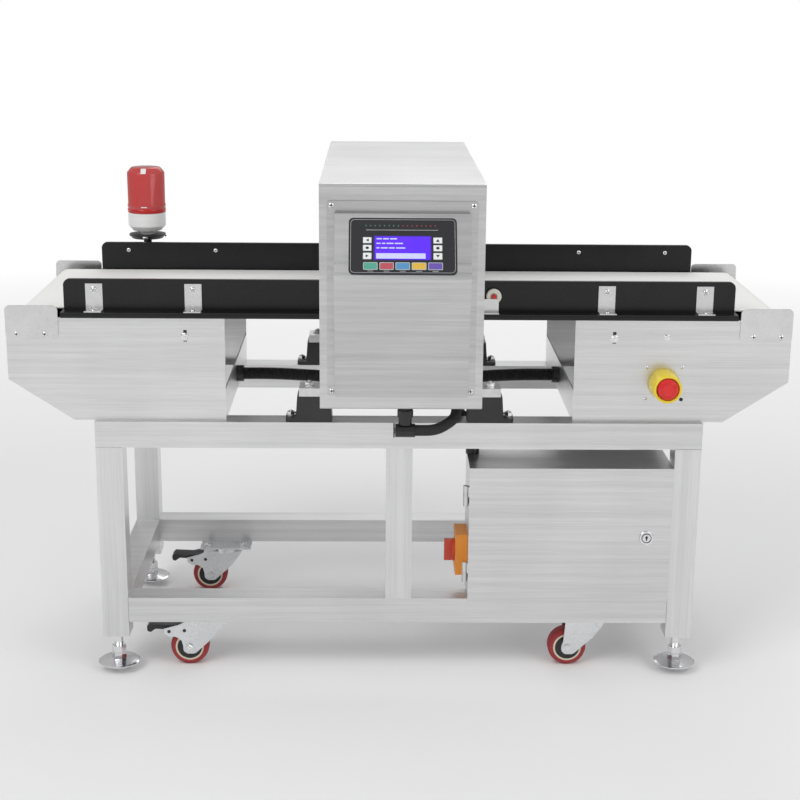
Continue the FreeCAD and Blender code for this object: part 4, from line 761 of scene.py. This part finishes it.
@dataclass
class ControlPanel:
    """The membrane panel's face: outline, display, keys and lamps, on the console's slope."""

    width: float = 185.0
    height: float = 104.3
    middle: Point = (0.0, -388.27, 870.55)
    rise: tuple[float, float] = (0.536, 0.845)
    inset: float = 3.4
    corner: float = 6.5

    def plane(self, x: float, y: float, lift: float = 0.0) -> Matrix:
        """From the panel's own plane to the part's frame.

        Args:
            x: Across the panel from its middle, in millimetres.
            y: Up the slope from its middle, in millimetres.
            lift: Off the face, in millimetres.

        Returns:
            The transform, in metres.
        """
        back, up = self.rise
        across, along, out = Vector((1, 0, 0)), Vector((0, back, up)), Vector((0, -up, back))
        spot = Vector(self.middle) + across * x + along * y + out * lift
        turn = Matrix((across, along, out)).transposed().to_4x4()
        return Matrix.Translation(spot * MM) @ turn

    def tile(self, form: Form, x0: float, x1: float, y0: float, y1: float, index: int, lift: float = 0.0,
             corner: float = 1.0, thick: float = 0.25) -> None:
        """Adds a thin rounded tile between two corners in the panel's plane.

        Args:
            form: The form that gets it.
            x0: Left edge, in millimetres.
            x1: Right edge.
            y0: Low edge.
            y1: High edge.
            index: Its finish.
            lift: Its height off the face.
            corner: Radius of its corners.
            thick: Its thickness.
        """
        half_x, half_y = (x1 - x0) / 2, (y1 - y0) / 2
        form.plate([(-half_x, -half_y), (half_x, -half_y), (half_x, half_y), (-half_x, half_y)], thick,
                   self.plane((x0 + x1) / 2, (y0 + y1) / 2, lift), 0.0, index, corner, 3)

    def outline(self, form: Form) -> None:
        """Adds the fine rounded line near the panel's edge."""
        half_x, half_y = self.width / 2 - self.inset, self.height / 2 - self.inset
        path = []
        for sx, sy, start in ((1, 1, 0), (-1, 1, 90), (-1, -1, 180), (1, -1, 270)):
            for step in range(6):
                angle = math.radians(start + step * 18)
                x = sx * (half_x - self.corner) + self.corner * math.cos(angle)
                y = sy * (half_y - self.corner) + self.corner * math.sin(angle)
                path.append((self.plane(x, y, 0.1).translation, 0.35 * MM))
        path.append(path[0])
        form.tube(path, 6, 0)

    def mark(self, form: Form, shape: str, x: float, y: float) -> None:
        """Adds the dark arrow or dot on a key.

        Args:
            form: The form that gets it.
            shape: Which arrow, or a dot.
            x: Across the panel, in millimetres.
            y: Up the slope.
        """
        size, place = 2.6, self.plane(x, y, 0.62)
        arrows = {"left": [(size, size), (-size, 0), (size, -size)],
                  "right": [(-size, -size), (size, 0), (-size, size)],
                  "up": [(-size * 1.2, -size), (size * 1.2, -size), (0, size)],
                  "down": [(0, -size), (size * 1.2, size), (-size * 1.2, size)]}
        if shape == "dot":
            ring = [(3.0 * math.cos(math.radians(a)), 2.4 * math.sin(math.radians(a)))
                    for a in range(0, 360, 30)]
            form.plate(ring, 0.1, place, 0.0, 12)
        else:
            form.plate(arrows[shape], 0.1, place, 0.0, 12)

    def build(self) -> None:
        """Builds the panel's face."""
        form = Form()
        self.outline(form)
        self.tile(form, -50.2, 49.4, -26.4, 19.4, 3, 0.0, 1.5)
        self.tile(form, -47.8, 47.0, -24.6, 17.6, 1, 0.15, 0.8)
        self.tile(form, -45.6, 38.5, -23.2, -13.4, 2, 0.3, 0.6)
        for row, ends in enumerate(((-34, -22, -8), (-36, -28, -14, 2), (-38, -24, -12, 6))):
            level, left = 13.2 - row * 8.4, -45.0
            for stop in ends:
                self.tile(form, left, stop - 2.0, level - 1.1, level + 1.1, 2, 0.3, 0.4)
                left = stop
        rows = ((16.1, 5.0), (2.0, -9.3), (-12.4, -24.6))
        for (high, low), left, right in zip(rows, ("left", "dot", "right"), ("up", "dot", "down")):
            for x0, x1, shape in ((-68.2, -53.4, left), (51.8, 67.2, right)):
                self.tile(form, x0, x1, low, high, 4, 0.0, 1.2, 0.4)
                self.tile(form, x0 + 0.8, x1 - 0.8, low + 0.8, high - 0.8, 5, 0.3, 0.8, 0.3)
                self.mark(form, shape, (x0 + x1) / 2, (low + high) / 2)
        keys = ((-67.6, -43.1), (-39.9, -15.7), (-12.7, 12.0), (14.9, 39.8), (42.9, 67.8))
        for number, (x0, x1) in enumerate(keys):
            self.tile(form, x0, x1, -43.6, -30.0, 4, 0.0, 1.6, 0.4)
            self.tile(form, x0 + 1.1, x1 - 1.1, -42.5, -31.1, 6 + number, 0.3, 1.0, 0.3)
            self.tile(form, (x0 + x1) / 2 - 5.0, (x0 + x1) / 2 + 5.0, -46.3, -45.5, 0, 0.0, 0.0, 0.15)
        for number in range(16):
            x = -63.0 + number * 7.9
            form.turned([(0, 0), (1.3, 0), (1.1, 0.4), (0, 0.5)], self.plane(x, 37.6).translation / MM,
                        Vector((0, -self.rise[1], self.rise[0])), 10, 11 if number < 8 else 13)
        self.tile(form, -63.0, 60.0, 29.2, 29.9, 0, 0.0, 0.0, 0.15)
        form.piece("panel_face", "machine",
                   [INK_LIGHT, LCD_BLUE, LCD_PALE, LCD_RIM, KEY_RIM, KEY_WHITE, KEY_TEAL, KEY_RED, KEY_BLUE,
                    KEY_YELLOW, KEY_PURPLE, LED_GREEN, FILM, LED_RED])


@dataclass
class Head:
    """Detector head: cover screws and the bolts of its mounts."""

    cover_half: float = 123.5
    cover_face: float = -337.5
    cover_levels: tuple[float, float] = (602.0, 932.5)
    bolt_x: float = 204.5
    bar_bolt_x: float = 170.0
    rail_y: float = 228.0

    def cover(self) -> None:
        """Builds the cover's screws."""
        form = Form()
        for x in (-self.cover_half, self.cover_half):
            for z in self.cover_levels:
                PAN.add(form, (x, self.cover_face, z), Axis.FRONT)
        form.piece("cover_screws", "machine", [BRIGHT, BLACK_PLASTIC])

    def bolts(self) -> None:
        """Builds the bolts of the cast feet and of the bars."""
        form = Form()
        for sy in ENDS.values():
            y = MIDLINE + sy * self.rail_y
            for sx in SIDES.values():
                FLANGE_BOLT.add(form, (sx * self.bolt_x, y, 516.0), Axis.UP)
                Fixing(7.0, 5.5, Recess.HEX, 10.0, 1.6).add(form, (sx * self.bar_bolt_x, y, 574.0), Axis.UP)
        form.piece("mount_bolts", "machine", [BRIGHT, BLACK_PLASTIC])

    def build(self) -> None:
        """Builds the head's fittings."""
        self.cover()
        self.bolts()


@dataclass
class Conveyor:
    """Fixings of the housings, nose plates, guides and their brackets."""

    nose_x: tuple[float, float] = (656.0, 708.0)
    nose_z: float = 672.5
    nose_face: float = 243.0
    wall: float = 240.0
    roller_x: float = 398.0
    drum_x: float = 495.5
    roller_z: float = 670.0
    bracket_x: tuple[float, float] = (384.0, 567.0)
    guide_face: float = 216.0
    guide_thick: float = 8.0

    def nose_screws(self) -> None:
        """Builds the screws of the four nose plates."""
        form = Form()
        for sx in SIDES.values():
            for sy, axis in ((-1, Axis.FRONT), (1, Axis.BACK)):
                for x in self.nose_x:
                    PAN.add(form, (sx * x, MIDLINE + sy * self.nose_face, self.nose_z), axis)
        form.piece("nose_screws", "machine", [BRIGHT, BLACK_PLASTIC])

    def roller_bolts(self) -> None:
        """Builds the adjusting slots of the return rollers as thin dark plates of painted shade, their bolts,
        and the drum's bolts.
        """
        form = Form()
        for sy, axis in ((-1, Axis.FRONT), (1, Axis.BACK)):
            y = MIDLINE + sy * self.wall
            for sx in SIDES.values():
                x = sx * self.roller_x
                low, high = sorted((y, y + sy * 0.25))
                # The slot is not cut: a thin dark plate on the wall is painted shade for the shadow inside
                # it.
                form.box((x - 3.2, low, self.roller_z - 11), (x + 3.2, high, self.roller_z + 11), 0.0, 1)
                Fixing(5.5, 4.2, Recess.HEX, 7.5, 1.2).add(form, (x, y, self.roller_z - 2), axis)
            Fixing(5.0, 3.6, Recess.HEX, 6.5, 1.0).add(form, (self.drum_x, y, self.roller_z), axis)
        form.piece("roller_bolts", "machine", [BRIGHT, BLACK_PLASTIC])

    def bracket_screws(self) -> None:
        """Builds the screws of the guide brackets, and the domed ends inside the guides."""
        form = Form()
        for sy, out, back in ((-1, Axis.FRONT, Axis.BACK), (1, Axis.BACK, Axis.FRONT)):
            face = MIDLINE + sy * (self.guide_face + 2)
            inner = MIDLINE + sy * (self.guide_face - self.guide_thick)
            for sx in SIDES.values():
                for x in self.bracket_x:
                    Fixing(4.4, 2.6, Recess.SOCKET, 6.0, 1.0).add(form, (sx * x, face, 752.0), out)
                    Fixing(4.6, 2.6, Recess.SOCKET).add(form, (sx * x, inner, 755.0), back)
                    Fixing(4.2, 2.4).add(form, (sx * x, MIDLINE + sy * 232.0, 715.5), Axis.UP)
        form.piece("bracket_screws", "machine", [BRIGHT, BLACK_PLASTIC])

    def build(self) -> None:
        """Builds the conveyor's fittings."""
        self.nose_screws()
        self.roller_bolts()
        self.bracket_screws()


@dataclass
class Conduit:
    """The corrugated conduit between the housings."""

    reach: float = 311.0
    level: float = 540.0
    sag: float = 9.0
    crest: float = 12.4
    root: float = 11.0
    pitch: float = 4.4
    flat: float = 275.0
    middle: float = 55.0

    def height(self, x: float) -> float:
        """Height of the conduit's line.

        Args:
            x: Place along the belt, in millimetres.

        Returns:
            The height, in millimetres.
        """
        share = min(1.0, max(0.0, (self.flat - abs(x)) / (self.flat - self.middle)))
        return self.level - self.sag * share * share * (3 - 2 * share)

    def build(self) -> None:
        """Builds the corrugated tube in place of the plain one."""
        stations = []
        count = int(2 * self.reach / self.pitch)
        for number in range(count):
            start = -self.reach + number * self.pitch
            for shift, radius in ((0.0, self.root), (1.2, self.crest), (2.9, self.crest), (4.1, self.root)):
                x = start + shift
                stations.append((Vector((x, MIDLINE, self.height(x))) * MM, radius * MM))
        end = self.reach
        stations.append((Vector((end, MIDLINE, self.height(end))) * MM, self.root * MM))
        form = Form()
        form.tube(stations, 20, 0)
        form.piece("conduit_hose", "machine", [CABLE_BLACK], ["housing_conduit"])


@dataclass
class Castors:
    """Wheel faces, axle ends, rivets and plate bolts of the four castors."""

    trail: float = 37.0
    axle_z: float = 37.5
    wheel_half: float = 16.0
    fork_half: float = 22.0
    rivets: tuple[tuple[float, float], ...] = ((-76.0, 72.0), (-46.0, 74.0))
    plate_bolt_x: float = 38.5
    plate_bolt_y: float = 25.0
    plate_top: float = 106.5

    def wheel(self, name: str, x: float, y: float) -> None:
        """Builds the hub discs and rings on both sides of a wheel.

        Args:
            name: The castor's end and side.
            x: Middle of the wheel along the belt, in millimetres.
            y: Middle of the wheel from front to back.
        """
        form = Form()
        for axis in (Axis.FRONT, Axis.BACK):
            seat = (x, y, self.axle_z)
            face = self.wheel_half
            form.turned([(24.0, face - 1), (27.6, face - 1), (27.6, face + 0.25), (27.0, face + 0.5),
                         (24.6, face + 0.5), (24.0, face + 0.2), (24.0, face - 1)], seat, axis, 40, 0)
            form.turned([(9.0, face - 1), (24.0, face - 1), (24.0, face + 0.1), (21.5, face + 0.3),
                         (20.0, face - 0.3), (13.0, face - 0.3), (11.5, face + 0.7), (9.0, face + 0.7),
                         (9.0, face - 1)], seat, axis, 40, 1)
        form.piece(f"wheel_faces_{name}", f"wheel_{name}", [WHEEL_CREAM, BLACK_PLASTIC])

    def fork(self, name: str, x: float, y: float, braked: bool) -> None:
        """Builds the axle's ends, and the rivets of a braked fork.

        Args:
            name: The castor's end and side.
            x: Its swivel axis along the belt, in millimetres.
            y: Its swivel axis from front to back.
            braked: Whether it has a pedal.
        """
        form = Form()
        for axis, sy in ((Axis.FRONT, -1), (Axis.BACK, 1)):
            face = y + sy * self.fork_half
            centre = (x - self.trail, face, self.axle_z)
            if braked:
                Fixing(7.2, 4.0, Recess.HEX, 8.6, 0.9).add(form, centre, axis)
                for rx, rz in self.rivets:
                    form.turned([(0, 0), (3.6, 0), (3.2, 0.9), (1.8, 1.5), (0, 1.7)],
                                (x + rx, face, rz), axis, 18, 1)
            else:
                form.turned([(0, 0), (8.2, 0), (8.2, 1.8), (7.0, 3.4), (3.0, 4.2), (0, 4.3)],
                            centre, axis, 28)
        form.piece(f"axle_ends_{name}", f"castor_{name}", [CHROME, BLACK_IRON])

    def build(self) -> None:
        """Builds the fittings of all castors."""
        bolts = Form()
        for end, sy in ENDS.items():
            for side, sx in SIDES.items():
                name = f"{end}_{side}"
                x, y = sx * CASTOR_X, MIDLINE + sy * CASTOR_SPREAD
                self.wheel(name, x - self.trail, y)
                self.fork(name, x, y, side == "left")
                for dx in (-self.plate_bolt_x, self.plate_bolt_x):
                    free = y - sy * self.plate_bolt_y
                    Fixing(6.4, 5.4, Recess.HEX, 8.0, 1.4).add(bolts, (x + dx, free, self.plate_top), Axis.UP)
                    Fixing(6.4, 3.8, Recess.SOCKET).add(bolts, (x + dx, free, self.plate_top - 4), Axis.DOWN)
        bolts.piece("castor_bolts", "machine", [CHROME, BLACK_PLASTIC])


@dataclass
class Feet:
    """Threads on the studs of the levelling feet."""

    x: float = 545.0
    spread: float = 228.0
    low: float = 34.0
    high: float = 55.0
    pitch: float = 2.0

    def build(self) -> None:
        """Builds one threaded sleeve for each foot."""
        for end, sy in ENDS.items():
            for side, sx in SIDES.items():
                profile = [(7.0, self.low)]
                level = self.low
                while level < self.high:
                    profile += [(8.05, level), (8.7, level + self.pitch / 2)]
                    level += self.pitch
                profile += [(8.05, level), (7.0, level), (7.0, self.low)]
                form = Form()
                form.turned(profile, (sx * self.x, MIDLINE + sy * self.spread, 0.0), Axis.UP, 24)
                form.piece(f"foot_thread_{end}_{side}", f"foot_{end}_{side}", [CHROME])


@dataclass
class Cabinet:
    """Door gasket, keyhole and the modules on the inner plate."""

    left: float = 132.0
    right: float = 516.0
    low: float = 156.5
    high: float = 425.5
    seam: float = -209.5
    lock: tuple[float, float] = (470.0, 288.5)

    def gasket(self) -> None:
        """Builds the rubber seal around the cabinet's mouth."""
        form = Form()
        inset, wide, y0, y1 = 4.0, 8.0, self.seam + 1.0, self.seam - 0.2
        x0, x1, z0, z1 = self.left + inset, self.right - inset, self.low + inset, self.high - inset
        low_y, high_y = min(y0, y1), max(y0, y1)
        form.box((x0, low_y, z0), (x1, high_y, z0 + wide), 0.3)
        form.box((x0, low_y, z1 - wide), (x1, high_y, z1), 0.3)
        form.box((x0, low_y, z0 + wide), (x0 + wide, high_y, z1 - wide), 0.3)
        form.box((x1 - wide, low_y, z0 + wide), (x1, high_y, z1 - wide), 0.3)
        form.piece("door_seal", "machine", [GASKET])

    def keyhole(self) -> None:
        """Builds the lock's face ring, and the keyhole as a dark slot and disc of painted shade."""
        form = Form()
        x, z = self.lock
        form.turned([(8.2, 0), (9.6, 0), (9.6, 0.5), (8.9, 0.7), (8.2, 0.5), (8.2, 0)], (x, -233.0, z),
                    Axis.FRONT, 28, 1)
        form.turned([(0, 0), (7.6, 0), (7.4, 0.5), (0, 0.6)], (x, -233.0, z), Axis.FRONT, 28, 0)
        # The keyhole is not cut: a dark slot and disc on the face are painted shade for its hollow.
        form.box((x - 1.3, -233.8, z - 4.6), (x + 1.3, -233.3, z + 4.6), 0.4, 1)
        form.turned([(0, 0), (2.6, 0), (2.6, 0.3), (0, 0.3)], (x, -233.55, z + 1.5), Axis.FRONT, 16, 1)
        form.piece("lock_face", "lock", [CHROME, BLACK_PLASTIC])

    def modules(self) -> None:
        """Builds terminals, a rail and switches on the cabinet's modules."""
        form = Form()
        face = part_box("cabinet_equipment")[0].y / MM
        for number in range(12):
            x = 196.0 + number * 6.2
            form.box((x, face - 3.0, 250.0), (x + 5.0, face, 276.0), 0.6,
                     1 if number % 3 == 2 else 0)
            form.turned([(0, 0), (1.6, 0), (1.6, 0.4), (0, 0.4)],
                        (x + 2.5, face - 3.0, 270.0), Axis.FRONT, 10, 2)
        for number in range(3):
            x = 335.0 + number * 16.0
            form.box((x, face - 5.0, 255.0), (x + 14.0, face, 300.0), 1.0, 0)
            form.box((x + 4.0, face - 9.0, 272.0), (x + 10.0, face - 4.5, 284.0), 1.0, 2)
        form.box((420.0, face - 2.0, 250.0), (450.0, face, 262.0), 0.8, 1)
        form.piece("cabinet_modules", "machine", [CREAM, KEY_TEAL, BLACK_PLASTIC])

    def build(self) -> None:
        """Builds the cabinet's fittings."""
        self.gasket()
        self.keyhole()
        self.modules()


@dataclass
class Switches:
    """Isolator fittings, the emergency stop's shroud and its screws."""

    stop: tuple[float, float] = (494.0, 582.5)
    shroud_length: float = 46.0
    shroud_foot: float = 34.0
    shroud_lip: float = 30.0
    shroud_corner: float = 13.0
    shroud_wall: float = 4.6
    shroud_well: float = 24.0

    def shroud(self) -> None:
        """Builds the six-sided yellow shroud round the button."""
        form = Form()
        x, z = self.stop
        length = self.shroud_length * MM
        made = bmesh.ops.create_cone(form.mesh, cap_ends=True, segments=6, radius1=self.shroud_foot * MM,
                                     radius2=self.shroud_lip * MM, depth=length)["verts"]
        bmesh.ops.translate(form.mesh, vec=(0, 0, length / 2), verts=made)
        bmesh.ops.rotate(form.mesh, matrix=Matrix.Rotation(math.radians(30), 3, "Z"), verts=made)
        posts = [edge for edge in form.mesh.edges
                 if (edge.verts[0].co.z > length / 2) != (edge.verts[1].co.z > length / 2)]
        form.bevel(posts, self.shroud_corner * MM, 6, 0)
        top = max(form.mesh.faces, key=lambda face: face.calc_center_median().z)
        bmesh.ops.inset_region(form.mesh, faces=[top], thickness=self.shroud_wall * MM, use_even_offset=True)
        sunk = bmesh.ops.extrude_face_region(form.mesh, geom=[top])
        bmesh.ops.delete(form.mesh, geom=[top], context="FACES_ONLY")
        floor = [v for v in sunk["geom"] if isinstance(v, bmesh.types.BMVert)]
        bmesh.ops.translate(form.mesh, vec=(0, 0, -self.shroud_well * MM), verts=floor)
        place = Matrix.Translation(Vector((x, FRONT_WALL, z)) * MM)
        place = place @ Matrix.Rotation(math.radians(90), 4, "X")
        bmesh.ops.transform(form.mesh, matrix=place, verts=list(form.mesh.verts))
        rims = [edge for edge in form.mesh.edges if edge.calc_face_angle(0) > math.radians(50)]
        form.bevel(rims, 1.0 * MM, 2, 0)
        form.piece("stop_shroud", "machine", [YELLOW], ["stop_collar"])

    def screws(self) -> None:
        """Builds the four screws about the shroud and those of the isolator."""
        form = Form()
        spots = ((460.7, 613.0, 0), (528.0, 613.0, 0), (460.7, 552.1, 0), (528.0, 552.1, 1))
        for x, z, metal in spots:
            SMALL_SLOT.add(form, (x, FRONT_WALL, z), Axis.FRONT, metal)
        for y in (-174.0, -121.0):
            for z in (200.0, 269.0):
                Fixing(3.2, 1.4).add(form, (110.0, y, z), Axis.LEFT)
        form.piece("switch_screws", "machine", [BRIGHT, BLACK_PLASTIC])

    def pointer(self) -> None:
        """Builds the isolator's pointer line and the ring on the button."""
        form = Form()
        form.box((89.4, -148.4, 226.0), (89.8, -146.6, 254.0), 0.1, 0)
        form.piece("isolator_pointer", "isolator", [KEY_WHITE])
        ring = Form()
        x, z = self.stop
        ring.turned([(11.5, 0), (12.6, 0), (12.4, 0.35), (11.7, 0.35), (11.5, 0)], (x, -249.5, z), Axis.FRONT,
                    32, 0)
        ring.piece("stop_ring", "stop_head", [RED])

    def build(self) -> None:
        """Builds the switches' fittings."""
        self.shroud()
        self.screws()
        self.pointer()


@dataclass
class Beacon:
    """The alarm beacon's lens, post and wing nuts."""

    x: float = -535.0
    y: float = 312.5

    def lens(self) -> None:
        """Builds the red lens with its rim, a white plate where the notch in its top is, as a painted
        reflection, and a white strip on the rim as a painted highlight.
        """
        form = Form()
        form.turned([(0, 922.5), (30.0, 922.5), (31.4, 921.6), (39.0, 912.4), (39.5, 911.0), (39.2, 847.0),
                     (40.4, 844.0), (40.4, 839.4), (39.5, 838.2), (39.5, 836.6), (40.4, 835.4),
                     (40.4, 828.4), (39.8, 827.5), (0, 827.5)], (self.x, self.y, 0.0), Axis.UP, 48, 0)
        # The notch is not cut: a white plate lies on the shoulder where it is, painted reflection standing
        # for the white seen in it.
        slope = math.atan2(9.2, 7.6)
        place = Matrix.Translation(Vector((self.x, self.y - 35.3, 917.0)) * MM)
        place = place @ Matrix.Rotation(slope, 4, "X")
        form.plate([(-5.4, -6.5), (5.4, -6.5), (5.4, 6.5), (-5.4, 6.5)], 0.5, place, 0.0, 1)
        # A short white strip on the front of the rim is a painted highlight.
        place = Matrix.Translation(Vector((self.x, self.y - 40.2, 841.6)) * MM)
        form.box((-6.2, -0.3, -1.0), (6.2, 0.2, 1.0), 0.4, 1, turn=place)
        form.piece("beacon_cap", "machine", [LENS, KEY_WHITE], ["beacon_lens"])

    def post(self) -> None:
        """Builds the bright sleeve, its nut and the wing nuts under the base."""
        form = Form()
        form.turned([(7.02, 716), (7.5, 716), (7.5, 771), (7.02, 771), (7.02, 716)],
                    (self.x, self.y, 0.0), Axis.UP, 24, 0)
        form.hexagon(16.0, 7.0, (self.x, self.y, 762.0), Axis.UP, 1, 0.8)
        for angle in (-90.0, 10.0, 170.0):
            turn = math.radians(angle)
            spot = Vector((self.x + 36.0 * math.cos(turn), self.y + 36.0 * math.sin(turn), 776.5))
            place = Matrix.Translation(spot * MM) @ Matrix.Rotation(turn, 4, "Z")
            form.box((0.0, -5.2, -2.6), (3.6, 5.2, 2.6), 1.2, 0, turn=place)
        form.piece("beacon_post", "machine", [BRIGHT, BLACK_IRON])

    def build(self) -> None:
        """Builds the beacon's fittings."""
        self.lens()
        self.post()


@dataclass
class SmallParts:
    """Photo-eye window, elbow nut and weld seams."""

    frame_half: float = 570.0
    tube: float = 50.0
    front: float = -210.5
    rear: float = 295.5

    def eye(self) -> None:
        """Builds the photo-eye's ring and red window."""
        form = Form()
        spot = (173.0, -183.5, 743.5)
        form.turned([(0, 0), (4.6, 0), (4.2, 0.9), (2.4, 1.5), (0, 1.7)], spot, Axis.FRONT, 20, 0)
        form.turned([(5.2, 0), (6.4, 0), (6.2, 0.8), (5.4, 0.8), (5.2, 0)], spot, Axis.FRONT, 24, 1)
        form.piece("eye_window", "machine", [RED, BLACK_PLASTIC])

    def nut(self) -> None:
        """Builds the gland nut under the head and the ring on the elbow."""
        form = Form()
        form.hexagon(28.0, 9.0, (8.5, MIDLINE - 337.0, 567.4), Axis.DOWN, 0, 1.0)
        form.turned([(9.0, 0), (13.2, 0), (13.6, 1.2), (13.2, 2.4), (9.0, 2.4), (9.0, 0)],
                    (-10.5, MIDLINE - 337.0, 517.5), Axis.LEFT, 28, 0)
        form.turned([(0, 0), (6.0, 0), (5.6, 1.6), (0, 1.8)], (-9.9, MIDLINE - 337.0, 517.5), Axis.LEFT, 6, 0)
        form.piece("elbow_nut", "machine", [BLACK_PLASTIC])

    def weld_line(self, form: Form, start: Point, end: Point) -> None:
        """Adds one thin seam.

        Args:
            form: The form that gets it.
            start: One end, in millimetres.
            end: The other end.
        """
        form.tube([(Vector(start) * MM, 0.7 * MM), (Vector(end) * MM, 0.7 * MM)], 8, 0)

    def welds(self) -> None:
        """Builds the seams where the frame's tubes meet."""
        form = Form()
        inner = self.frame_half - self.tube
        for y in (self.front, self.rear):
            for sx in (-1, 1):
                self.weld_line(form, (sx * inner, y, 106.5), (sx * inner, y, 156.5))
                self.weld_line(form, (sx * self.frame_half, y, 458.0), (sx * inner, y, 458.0))
        form.piece("weld_seams", "machine", [WELD])

    def build(self) -> None:
        """Builds the small parts."""
        self.eye()
        self.nut()
        self.welds()


# ---------------------------------------------------------------- studio


@dataclass
class Studio:
    """Floor, lamps, world and camera."""

    floor_half: float = 9.0
    fade_start: float = 1.6
    fade_end: float = 4.5
    floor_tone: float = 0.92
    sky_top: float = 0.98
    sky_side: float = 0.62
    sky_low: float = 0.80
    lens: float = 70.68
    eye: Point = (-0.04677, -3.04056, 1.30279)
    yaw: float = 0.95
    pitch: float = 14.85
    roll: float = 0.48

    def world(self) -> None:
        """Lights the part from all round, with a plain white ground behind it."""
        world = bpy.data.worlds.new("studio")
        bpy.context.scene.world = world
        world.use_nodes = True
        tree = world.node_tree
        plain = tree.nodes["Background"]
        place = tree.nodes.new("ShaderNodeTexCoord")
        split = tree.nodes.new("ShaderNodeSeparateXYZ")
        ramp = tree.nodes.new("ShaderNodeValToRGB")
        tree.links.new(place.outputs["Generated"], split.inputs[0])
        tree.links.new(spread(tree, split.outputs["Z"], 0.0, 1.0, -1.0, 1.0), ramp.inputs["Fac"])
        steps = [(0.0, self.sky_low), (0.46, self.sky_low), (0.53, self.sky_side), (0.72, 0.80),
                 (1.0, self.sky_top)]
        for number, (spot, tone) in enumerate(steps):
            stop = ramp.color_ramp.elements[number] if number < 2 else ramp.color_ramp.elements.new(spot)
            stop.position = spot
            stop.color = (tone, tone, tone, 1.0)
        tree.links.new(ramp.outputs["Color"], plain.inputs["Color"])
        plain.inputs["Strength"].default_value = 0.62
        white = tree.nodes.new("ShaderNodeBackground")
        white.inputs["Color"].default_value = (1.0, 1.0, 1.0, 1.0)
        path = tree.nodes.new("ShaderNodeLightPath")
        mix = tree.nodes.new("ShaderNodeMixShader")
        tree.links.new(path.outputs["Is Camera Ray"], mix.inputs["Fac"])
        tree.links.new(plain.outputs[0], mix.inputs[1])
        tree.links.new(white.outputs[0], mix.inputs[2])
        tree.links.new(mix.outputs[0], tree.nodes["World Output"].inputs["Surface"])

    def floor(self) -> None:
        """Lays a pale floor that fades to plain white away from the part."""
        mesh = bmesh.new()
        bmesh.ops.create_grid(mesh, x_segments=2, y_segments=2, size=self.floor_half)
        data = bpy.data.meshes.new("floor")
        mesh.to_mesh(data)
        mesh.free()
        made = bpy.data.objects.new("floor", data)
        bpy.context.scene.collection.objects.link(made)
        pale = bpy.data.materials.new("floor_pale")
        pale.use_nodes = True
        tree = pale.node_tree
        shader = tree.nodes["Principled BSDF"]
        shader.inputs["Base Color"].default_value = (self.floor_tone,) * 3 + (1.0,)
        shader.inputs["Roughness"].default_value = 0.9
        shader.inputs["Specular IOR Level"].default_value = 0.1
        place = tree.nodes.new("ShaderNodeTexCoord")
        far = tree.nodes.new("ShaderNodeVectorMath")
        far.operation = "LENGTH"
        tree.links.new(place.outputs["Object"], far.inputs[0])
        share = spread(tree, far.outputs["Value"], 0.0, 1.0, self.fade_start, self.fade_end)
        path = tree.nodes.new("ShaderNodeLightPath")
        seen = arithmetic(tree, "MAXIMUM", path.outputs["Is Camera Ray"],
                          arithmetic(tree, "MAXIMUM", path.outputs["Is Glossy Ray"],
                                     path.outputs["Is Transmission Ray"]))
        glow = tree.nodes.new("ShaderNodeEmission")
        glow.inputs["Strength"].default_value = 1.0
        mix = tree.nodes.new("ShaderNodeMixShader")
        tree.links.new(arithmetic(tree, "MULTIPLY", share, seen), mix.inputs["Fac"])
        tree.links.new(shader.outputs[0], mix.inputs[1])
        tree.links.new(glow.outputs[0], mix.inputs[2])
        tree.links.new(mix.outputs[0], tree.nodes["Material Output"].inputs["Surface"])
        data.materials.append(pale)

    def lamp(self, name: str, at: Point, size: float, power: float, towards: Point = (0, 0, 0.5)) -> None:
        """Hangs one soft square lamp.

        Args:
            name: The lamp's name.
            at: Its place, in metres.
            size: Its side, in metres.
            power: Watts.
            towards: The point that it faces.
        """
        data = bpy.data.lights.new(name, "AREA")
        data.size = size
        data.energy = power
        made = bpy.data.objects.new(name, data)
        bpy.context.scene.collection.objects.link(made)
        made.location = at
        made.rotation_euler = (Vector(towards) - Vector(at)).to_track_quat("-Z", "Y").to_euler()

    def camera(self) -> None:
        """Sets the camera."""
        yaw, pitch, roll = (math.radians(x) for x in (self.yaw, self.pitch, self.roll))
        forward = Vector((math.sin(yaw) * math.cos(pitch), math.cos(yaw) * math.cos(pitch),
                          -math.sin(pitch)))
        right = Vector((math.cos(yaw), -math.sin(yaw), 0.0))
        up = right.cross(forward)
        level = right * math.cos(roll) + up * math.sin(roll)
        tall = up * math.cos(roll) - right * math.sin(roll)
        data = bpy.data.cameras.new("camera")
        data.lens = self.lens
        data.sensor_width = 36.0
        made = bpy.data.objects.new("camera", data)
        bpy.context.scene.collection.objects.link(made)
        turn = Matrix((level, tall, -forward)).transposed().to_4x4()
        made.matrix_world = Matrix.Translation(self.eye) @ turn
        bpy.context.scene.camera = made

    def build(self) -> None:
        """Sets up the whole studio."""
        bpy.context.scene.view_settings.view_transform = "Standard"
        self.world()
        self.floor()
        self.lamp("key", (-2.2, -2.6, 3.2), 2.4, 62.0)
        self.lamp("fill", (2.6, -2.2, 2.6), 2.4, 34.0)
        self.lamp("back", (0.3, 2.8, 3.0), 2.2, 30.0)
        self.camera()


def main() -> None:
    """Builds the pieces and the studio in order."""
    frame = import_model()
    dress_solids(frame["nodes"])
    for assembly in (ControlPanel(), Head(), Conveyor(), Conduit(), Castors(), Feet(), Cabinet(), Switches(),
                     Beacon(), SmallParts()):
        assembly.build()

    Studio().build()


if __name__ == "__main__":
    main()
